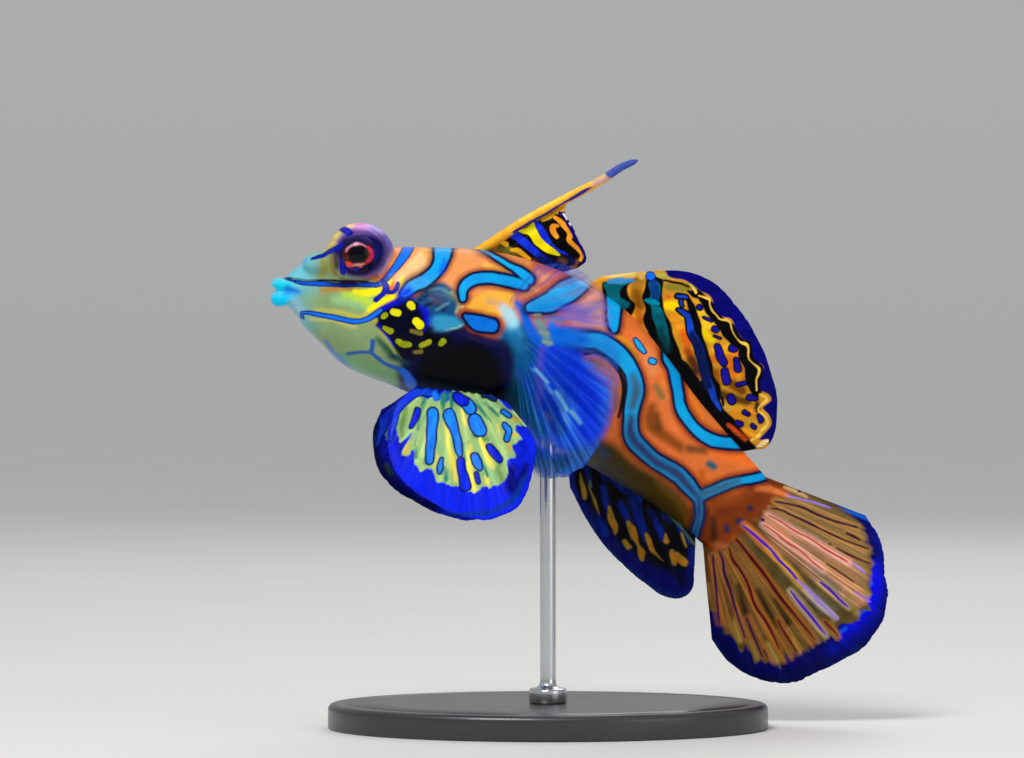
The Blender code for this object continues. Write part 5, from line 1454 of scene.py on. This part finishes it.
pelvicFin = {
    "root": [(0, -12.2, 34.4, 3.2), (0.5, -9.0, 33.8, 4.2), (1, -5.8, 33.3, 4.4)],
    "margin": [(0, -15.0, 32.6, 5.0), (0.12, -15.9, 29.6, 6.8), (0.25, -15.1, 25.8, 8.4),
        (0.38, -12.3, 23.3, 9.8), (0.5, -8.8, 21.6, 10.8), (0.62, -5.8, 21.2, 11.6), (0.74, -3.1, 22.4, 12.0),
        (0.85, -1.8, 25.3, 12.2), (0.93, -1.3, 28.8, 12.0), (1, -4.0, 32.6, 8.6)],
    "rays": 10, "cup": 0.9, "farSwing": (-1.9, 0, -0.8), "columns": 34, "ground": rgb(8, 34, 240),
    "streakTint": ((0.66, 0.7, 0.72, 1), (1.26, 1.22, 1.1, 1)),
    "zones": [
        ((4, 8, 150), 6, [(388, 412, 9), (382, 440, 10), (390, 466, 8)]),
        ((2, 6, 176), 5, [(400, 440, 8), (402, 456, 8)]),
        ((3, 8, 120), 5, [(512, 470, 10), (514, 490, 12), (526, 466, 8)], [(516, 404, 8), (526, 420, 5)]),
        ((2, 26, 206), 4, [(520, 440, 7), (526, 446, 6), (522, 456, 6)]),
        ((6, 52, 150), 2.6, [(412, 500, 3), (452, 514, 4), (490, 512, 4), (512, 500, 5), (526, 476, 3)]),
    ],
    # painted shade: the far pelvic fin is darker navy, with dimmer olive stripes
    "farShadeZones": [
        ((3, 5, 82), 5, [(392, 404, 12), (386, 440, 16), (396, 470, 18), (424, 496, 16), (450, 508, 10)]),
        ((44, 74, 44), 3, [(392, 424, 3), (388, 440, 3)], [(398, 460, 3), (402, 470, 3)]),
    ],
    "layers": [
        paint("web", (176, 206, 120), deep=(136, 188, 138), cloud=1.2, soft=1.8, fray=4, marks=[
            [(420, 396), (430, 400), (446, 402), (452, 394), (470, 392), (500, 400), (512, 410), (522, 412),
            (527, 424), (517, 428), (521, 440), (514, 446), (516, 458), (509, 460), (508, 470), (505, 482),
            (497, 486), (484, 488), (479, 492), (468, 492), (466, 486), (458, 487), (446, 484), (436, 480),
            (430, 470), (420, 471), (415, 462), (413, 452), (410, 456), (404, 456), (406, 446), (412, 434),
            (404, 441), (399, 441), (396, 426), (399, 408), (408, 402)]]),
        paint("olives", (110, 146, 78), soft=4, marks=[
            [(406, 410, 5), (402, 424, 6), (402, 436, 4)], [(474, 436, 4), (486, 440, 5)],
            [(498, 468, 4), (502, 480, 4)]]),
        paint("pales", (190, 214, 140), soft=2.4, fray=2, marks=[
            [(426, 424, 2), (425, 440, 4), (422, 456, 4)], [(438, 420, 2), (439, 440, 2.4)],
            [(466, 420, 3), (468, 440, 3)], [(494, 420, 3), (500, 436, 4), (506, 452, 4)]]),
        paint("yolks", (250, 240, 110), deep=(252, 222, 76), cloud=0.8, soft=4, fray=3, marks=[
            [(444, 420, 1.6), (447, 436, 3), (450, 450, 3.6), (454, 466, 6), (456, 480, 4)],
            [(437, 456, 2), (434, 468, 3)], [(471, 446, 3), (470, 462, 6), (472, 478, 5), (475, 489, 5)],
            [(480, 440, 2), (485, 450, 5), (490, 461, 6.4), (494, 468, 3)], [(462, 412, 2), (466, 426, 2.4)],
            [(486, 478, 4), (487, 484, 3)], [(498, 424, 2), (500, 432, 3)]]),
        paint("ambers", (206, 188, 76), deep=(226, 186, 70), soft=2, marks=[
            [(513, 418, 4), (520, 421, 4)], [(509, 444, 3), (511, 450, 3)], [(512, 434, 3), (517, 436, 4)],
            [(410, 442, 2), (406, 453, 4)]]),
        paint("greens", (52, 142, 116), deep=(24, 110, 104), soft=3, fray=3, marks=[
            [(424, 400, 5), (420, 414, 3), (418, 430, 2)], [(444, 398, 8), (444, 412, 3)],
            [(450, 396, 7), (452, 408, 3)], [(474, 402, 3), (482, 412, 4), (492, 422, 2)],
            [(484, 404, 3), (500, 416, 2.4)], [(416, 440, 2), (416, 458, 4)], [(482, 462, 2), (488, 476, 3)],
            [(444, 468, 3), (446, 480, 5)], [(463, 444, 2), (465, 462, 2)], [(429, 446, 2), (427, 464, 3)],
            [(496, 452, 2), (500, 466, 2)]]),
        # painted shadow of the body across the top of the fin
        paint("bodyShadow", (3, 4, 22), soft=8, marks=[
            [(450, 378, 18), (470, 384, 16), (500, 386, 14)], [(410, 382, 10), (396, 392, 6)]]),
        paint("dashes", (26, 150, 255), deep=(32, 110, 250), cloud=1, rim=((6, 22, 104), 1.8), soft=1.3,
            marks=[
            [(433, 414, 13.4), (432, 430, 12), (431, 446, 11), (429.6, 461, 9.6)], [(449, 416, 14),
            (453, 427, 12), (457, 439, 10), (459, 450, 9.4), (460, 455, 7)],
            [(466, 404.6, 13), (470.6, 409.6, 14)], [(475, 422, 16), (480, 431, 16)],
            [(474.6, 457, 10), (477.6, 463, 11), (480, 468, 8)],
            [(441.4, 460, 6), (440.4, 467, 8), (439.4, 472.6, 6)], [(505, 412, 7.6), (509.6, 415, 8)],
            [(506.4, 426, 8), (510, 431, 8.6), (507, 439, 8)]]),
        paint("royals", (14, 52, 244), deep=(6, 16, 226), cloud=1.2, rim=((5, 8, 84), 1.7), soft=1.3, marks=[
            [(417.6, 411, 7.6), (415, 419, 8.4), (411.6, 427, 6.6)],
            [(460.4, 461, 9), (463, 475, 11), (466, 486, 13)], [(457.6, 398.6, 12), (463, 402, 13)],
            [(490.4, 448, 9), (495, 454, 10.4), (500, 460, 8.6)], [(476.4, 474, 6), (479, 482.6, 6)]]),
        paint("dimDashes", (20, 50, 128), rim=((3, 6, 28), 1.8), soft=1.5, marks=[
            [(484.6, 396, 9), (495.6, 398.6, 9)]]),
        paint("lead", (22, 40, 250), deep=(20, 84, 226), cloud=1.6, rim=((5, 10, 110), 1.6), soft=1.6, marks=[
            [(390, 440, 5), (393.6, 426, 7), (397, 413, 8.6), (404, 403, 9), (413, 396, 9.6), (424, 393, 10),
            (434, 392, 11), (437, 384, 8)]]),
        # painted highlight: a bright blue spot at the end of the leading bar
        paint("leadHighlight", (28, 124, 255), soft=2.4, marks=[[(435, 396, 6), (436.4, 398.6, 6.4)]]),
    ],
}

pectoralFin = {
    "root": [(0, -3.7, 42.5, 5.6), (0.5, -3.6, 40.4, 5.7), (1, -3.2, 38.4, 5.6)],
    "margin": [(0, -1.2, 46.1, 7.2), (0.08, 1.2, 46.2, 7.8), (0.16, 3.6, 45.3, 8.2), (0.24, 5.6, 43.0, 8.8),
        (0.36, 6.6, 39.0, 9.2), (0.48, 6.9, 34.3, 9.0), (0.6, 5.8, 29.8, 8.6), (0.72, 3.4, 26.2, 8.2),
        (0.84, 0.5, 25.0, 8.0), (0.94, -1.6, 25.6, 7.8), (1, -2.4, 28.0, 7.6)],
    "rays": 20, "cup": 0.5, "columns": 12, "slot": "clear_fin", "flutter": 0.16, "ground": rgb(8, 70, 226),
    "zones": [
        ((150, 128, 190), 8, [(520, 300, 14), (556, 290, 20), (590, 290, 22), (600, 316, 18)]),
        ((4, 44, 212), 9, [(566, 366, 26), (584, 392, 30), (590, 424, 26), (574, 450, 20)]),
        ((0, 70, 112), 8, [(514, 366, 12), (522, 398, 18), (540, 430, 16)]),
        ((0, 50, 118), 6, [(544, 400, 8), (560, 430, 12)]),
        ((14, 43, 83), 9, [(526, 456, 18), (552, 468, 22), (584, 456, 18)]),
        ((120, 200, 220), 2.5, [(535, 370, 3), (548, 382, 3)], [(543, 384, 3), (552, 392, 3)],
            [(557, 392, 3), (568, 410, 3.4)], [(572, 412, 3), (580, 422, 3)]),
        ((96, 104, 50), 3, [(548, 413, 6), (550, 417, 6)]),
    ],
    "veil": 0.05,
    "veils": [
        (0.26, 8, [(566, 312, 14), (586, 314, 16), (600, 308, 10)]),
        (0.85, 8, [(582, 370, 20), (592, 392, 32), (588, 414, 38), (574, 436, 34)]),
        (0.75, 8, [(514, 366, 10), (522, 398, 18), (540, 430, 22)]),
        (0.8, 8, [(540, 456, 22), (560, 468, 20), (590, 456, 16)]),
        (0.7, 3, [(535, 370, 4), (548, 382, 4), (568, 410, 4), (580, 422, 4)]),
        (0.08, 5, [(598, 354, 8), (611, 374, 9), (619, 396, 8), (617, 416, 6)]),
    ],
    "rayTint": rgb(60, 130, 226), "strength": 0.16,
    "strengths": [
        (0.4, 8, [(512, 292, 22), (544, 276, 26), (570, 284, 28)], [(560, 314, 18), (600, 316, 20)]),
        (0.2, 6, [(584, 262, 12), (604, 276, 12), (616, 292, 8)]),
    ],
    "rayTints": [
        ((92, 50, 112), 10, [(512, 290, 24), (550, 280, 30), (600, 290, 30)]),
        ((120, 92, 190), 8, [(556, 314, 18), (604, 316, 18)]),
        ((20, 70, 226), 9, [(574, 370, 26), (588, 396, 28), (590, 430, 24)]),
        ((110, 190, 224), 8, [(536, 366, 10), (556, 396, 14), (566, 420, 10)]),
        ((22, 80, 130), 8, [(516, 380, 12), (530, 430, 14), (560, 462, 20)]),
    ],
    "layers": [
        paint("tips", (8, 22, 130), soft=6, marks=[
            [(618, 388, 5), (610, 430, 7), (588, 466, 8), (556, 478, 8), (532, 470, 6)]]),
    ],
}

middleFins = {"first_dorsal": ("firstDorsal", firstDorsal), "second_dorsal": ("secondDorsal", secondDorsal),
              "anal": ("analFin", analFin), "tail": ("tailFin", tailFin)}
for node, (name, form) in middleFins.items():
    finPiece(name, form, middlePlace(form), middlePlace(form), f"{node}_fin")
# the far fins take the paint of the near ones, and the far pelvic fin gets painted shade over it
farPelvic = {**pelvicFin, "zones": pelvicFin["zones"] + pelvicFin["farShadeZones"]}
for side, word, pelvic in ((1, "left", pelvicFin), (-1, "right", farPelvic)):
    for kind, form in (("pelvic", pelvic), ("pectoral", pectoralFin)):
        finPiece(f"{kind}_{word}", form, sidePlace(form, side), sidePlace(form, 1), f"{kind}_fin_{word}")

# The long first spine, which stands on in front of its fin
longSpine = {
    "path": [(-7.3, 47.4, 0.5), (-2.9, 50.3, 0.5), (1.2, 52.6, 0.48), (5.2, 54.7, 0.44), (7.2, 56.0, 0.38),
        (9.0, 56.8, 0.28)],
    "ground": rgb(250, 182, 44),
    "zones": [
        # painted highlight: a paler yellow along the top of the spine
        ((252, 208, 70), 2, [(520, 220, 4), (550, 203, 4), (584, 183, 4)]),
        ((236, 160, 60), 2, [(518, 234, 4), (540, 222, 4), (548, 217, 3)]),
        ((238, 134, 30), 2, [(550, 214, 4), (562, 208, 5), (576, 202, 5), (592, 192, 4)]),
        ((206, 190, 110), 3, [(590, 180, 5), (602, 175, 6), (608, 174, 5)]),
        ((206, 162, 166), 2, [(594, 184, 4), (602, 181, 5), (607, 179, 4)]),
    ],
    "layers": [
        paint("seam", (20, 44, 160), deep=(60, 40, 110), soft=1.2, marks=[
            [(514, 232, 3), (522, 227.6, 3.4), (531, 222.4, 3.4), (545, 214.4, 2.6), (560, 205, 2.2),
            (575, 196.6, 3.2), (585, 190.4, 3), (592, 187, 1.2)]]),
        paint("tip", (46, 80, 172), deep=(78, 84, 176), soft=3, marks=[
            [(611, 172, 12), (624, 166, 14), (640, 160, 12)]]),
    ],
}


def makeSpine():
    rows = np.array(longSpine["path"], float)
    share = np.linspace(0, 1, 160)
    at = curveThrough(np.linspace(0, 1, len(rows)), rows)(share)
    path = np.stack((at[:, 0], np.zeros(len(at)), at[:, 1]), axis=1) * mm
    knobs = 1 + 0.03 * np.sin(share * 130)
    radii = at[:, 2] * mm * knobs * np.sqrt(np.clip((1 - share) * 18, 0.02, 1))
    obj = closedObject("firstSpine", *pipe(path, radii, 28))
    flat = seen(points(obj))
    zoneColour(obj, "ground", wander(flat, 0.4), longSpine["ground"], longSpine["zones"])
    paintMarks(obj, flat, longSpine["layers"])
    graph = Graph("firstSpine")
    colour = paintedColour(graph, longSpine["layers"], 0.8)
    colour = graph.shade(colour, graph.mix((0.75, 0.75, 0.75, 1), (1.2, 1.2, 1.15, 1), graph.noise(0.6)))
    rough = graph.noise(0.6) * 0.15 + 0.25
    material = graph.finish(colour, rough, graph.bump(graph.noise(0.5), 0.015, 0.5), **wetCoat)
    dress(obj, material, "fin")


makeSpine()

# The stand: an oval base and a rod with a collar
print("stand")
stand = {"halfLength": 22.0, "halfDepth": 16.0, "height": 2.5, "edge": 0.6, "rod": 0.8, "collar": 1.9,
         "collarHeight": 1.2, "rodTop": 29.8}


def levelRing(halfLength, halfDepth, height, around):
    turn = np.linspace(0, math.tau, around, endpoint=False)
    x, y = halfLength * np.cos(turn), halfDepth * np.sin(turn)
    return np.stack((x, y, np.full(around, height)), axis=1) * mm


def makeBase():
    edge, height = stand["edge"], stand["height"]
    profile = [(0.3, 0.0), (0.08, 0.06), (0.0, 0.25)]
    for turn in np.linspace(0, math.pi / 2, 9):
        profile.append((edge * (1 - math.cos(turn)), height - edge * (1 - math.sin(turn))))
    groove = height - 0.05
    profile += [(1.5, height), (1.56, groove), (1.7, groove), (1.76, height), (6.0, height), (12.0, height)]
    length, depth = stand["halfLength"], stand["halfDepth"]
    rings = [levelRing(length - inset, depth - inset, height, 160) for inset, height in profile]
    base = closedObject("standBase", *closedLoft(rings))
    graph = Graph("satinBlack")
    clouds, fine = graph.noise(6.0, 4.0), graph.noise(0.35, 2.0)
    colour = graph.mix(rgb(34, 35, 38), rgb(48, 49, 53), clouds)
    rough = clouds * 0.1 + fine * 0.08 + 0.26
    material = graph.finish(colour, rough, graph.bump(fine, 0.008, 0.5), Coat_Weight=0.25,
                            Coat_Roughness=0.12)
    dress(base, material, "base", "stand_base")


def makeRod():
    rod, collar, bottom = stand["rod"], stand["collar"], stand["height"]
    top = bottom + 0.3 + stand["collarHeight"]
    profile = [(collar - 0.12, bottom), (collar, bottom + 0.15), (collar, top - 0.35)]
    for turn in np.linspace(0.2, math.pi / 2, 6):
        profile.append((collar - 0.3 * (1 - math.cos(turn)), top - 0.3 + 0.3 * math.sin(turn)))
    profile += [(rod + 0.45, top + 0.05), (rod + 0.18, top + 0.2), (rod, top + 0.5)]
    profile += [(rod, height) for height in np.linspace(top + 1, stand["rodTop"], 24)]
    rings = [levelRing(radius, radius, height, 64) for radius, height in profile]
    obj = closedObject("standRod", *closedLoft(rings))
    graph = Graph("polishedSteel")
    x, y, z = (graph.node("ShaderNodeSeparateXYZ", {}, graph.place, output=n) for n in range(3))
    turned = graph.node("ShaderNodeCombineXYZ", {}, x * 400.0, y * 400.0, z * 9000.0)
    lines = graph.node("ShaderNodeTexNoise", {}, turned, 1.0, 2.0, 0.5)
    colour = graph.mix(rgb(186, 188, 192), rgb(214, 215, 217), lines)
    material = graph.finish(colour, lines * 0.14 + 0.16, graph.bump(lines, 0.006, 0.4), Metallic=1.0)
    dress(obj, material, "rod", "stand_rod")


makeBase()
makeRod()

# Floor, light and camera
print("stage")
studio = {
    "floor": rgb(226, 226, 224), "floorReach": 6.0, "sky": (0.98, 0.99, 1.0), "horizon": 0.4, "zenith": 0.58,
    "lamps": [
        # name, place, size, power in watts, colour
        ("key", (-0.13, -0.27, 0.40), 0.20, 1.45, (1.0, 0.98, 0.95)),
        ("fill", (0.34, -0.34, 0.12), 0.3, 0.3, (0.96, 0.98, 1.0)),
        ("back", (0.10, 0.36, 0.34), 0.24, 0.4, (1.0, 1.0, 1.0)),
    ],
    "aim": (0.0, 0.0, 0.036),
}


def makeStage():
    corners = np.array([(-1, -1, 0), (1, -1, 0), (1, 1, 0), (-1, 1, 0)]) * studio["floorReach"]
    floor = meshObject("floor", corners, [(0, 1, 2, 3)])
    graph = Graph("paleFloor")
    clouds = graph.noise(60.0, 3.0)
    colour = graph.mix(studio["floor"], rgb(218, 218, 217), clouds)
    material = graph.finish(colour, clouds * 0.1 + 0.55, graph.bump(graph.noise(0.5), 0.01, 0.3))
    floor.data.materials.append(material)

    world = bpy.data.worlds.new("studio")
    world.use_nodes = True
    nodes, links = world.node_tree.nodes, world.node_tree.links
    sky = nodes["Background"]
    sky.inputs["Color"].default_value = (*studio["sky"], 1)
    way, apart, rise = (nodes.new(f"ShaderNode{kind}") for kind in ("TexCoord", "SeparateXYZ", "MapRange"))
    links.new(way.outputs["Generated"], apart.inputs[0])
    links.new(apart.outputs["Z"], rise.inputs["Value"])
    links.new(rise.outputs["Result"], sky.inputs["Strength"])
    rise.inputs["To Min"].default_value = studio["horizon"]
    rise.inputs["To Max"].default_value = studio["zenith"]
    bpy.context.scene.world = world
    for name, place, size, power, colour in studio["lamps"]:
        lamp = bpy.data.lights.new(name, "AREA")
        lamp.shape, lamp.size, lamp.energy, lamp.color = "DISK", size, power, colour
        obj = bpy.data.objects.new(name, lamp)
        obj.location = place
        obj.rotation_euler = (Vector(studio["aim"]) - Vector(place)).to_track_quat("-Z", "Y").to_euler()
        bpy.context.scene.collection.objects.link(obj)


def makeCamera():
    lens = bpy.data.cameras.new("camera")
    lens.lens, lens.sensor_width = camera["lens"], camera["sensor"]
    lens.clip_start, lens.clip_end = 0.01, 20.0
    obj = bpy.data.objects.new("camera", lens)
    obj.location = (camera["x"], camera["y"], camera["z"])
    obj.rotation_euler = (math.pi / 2, 0, 0)
    bpy.context.scene.collection.objects.link(obj)
    bpy.context.scene.camera = obj
    bpy.context.scene.view_settings.view_transform = "Standard"


makeStage()
makeCamera()
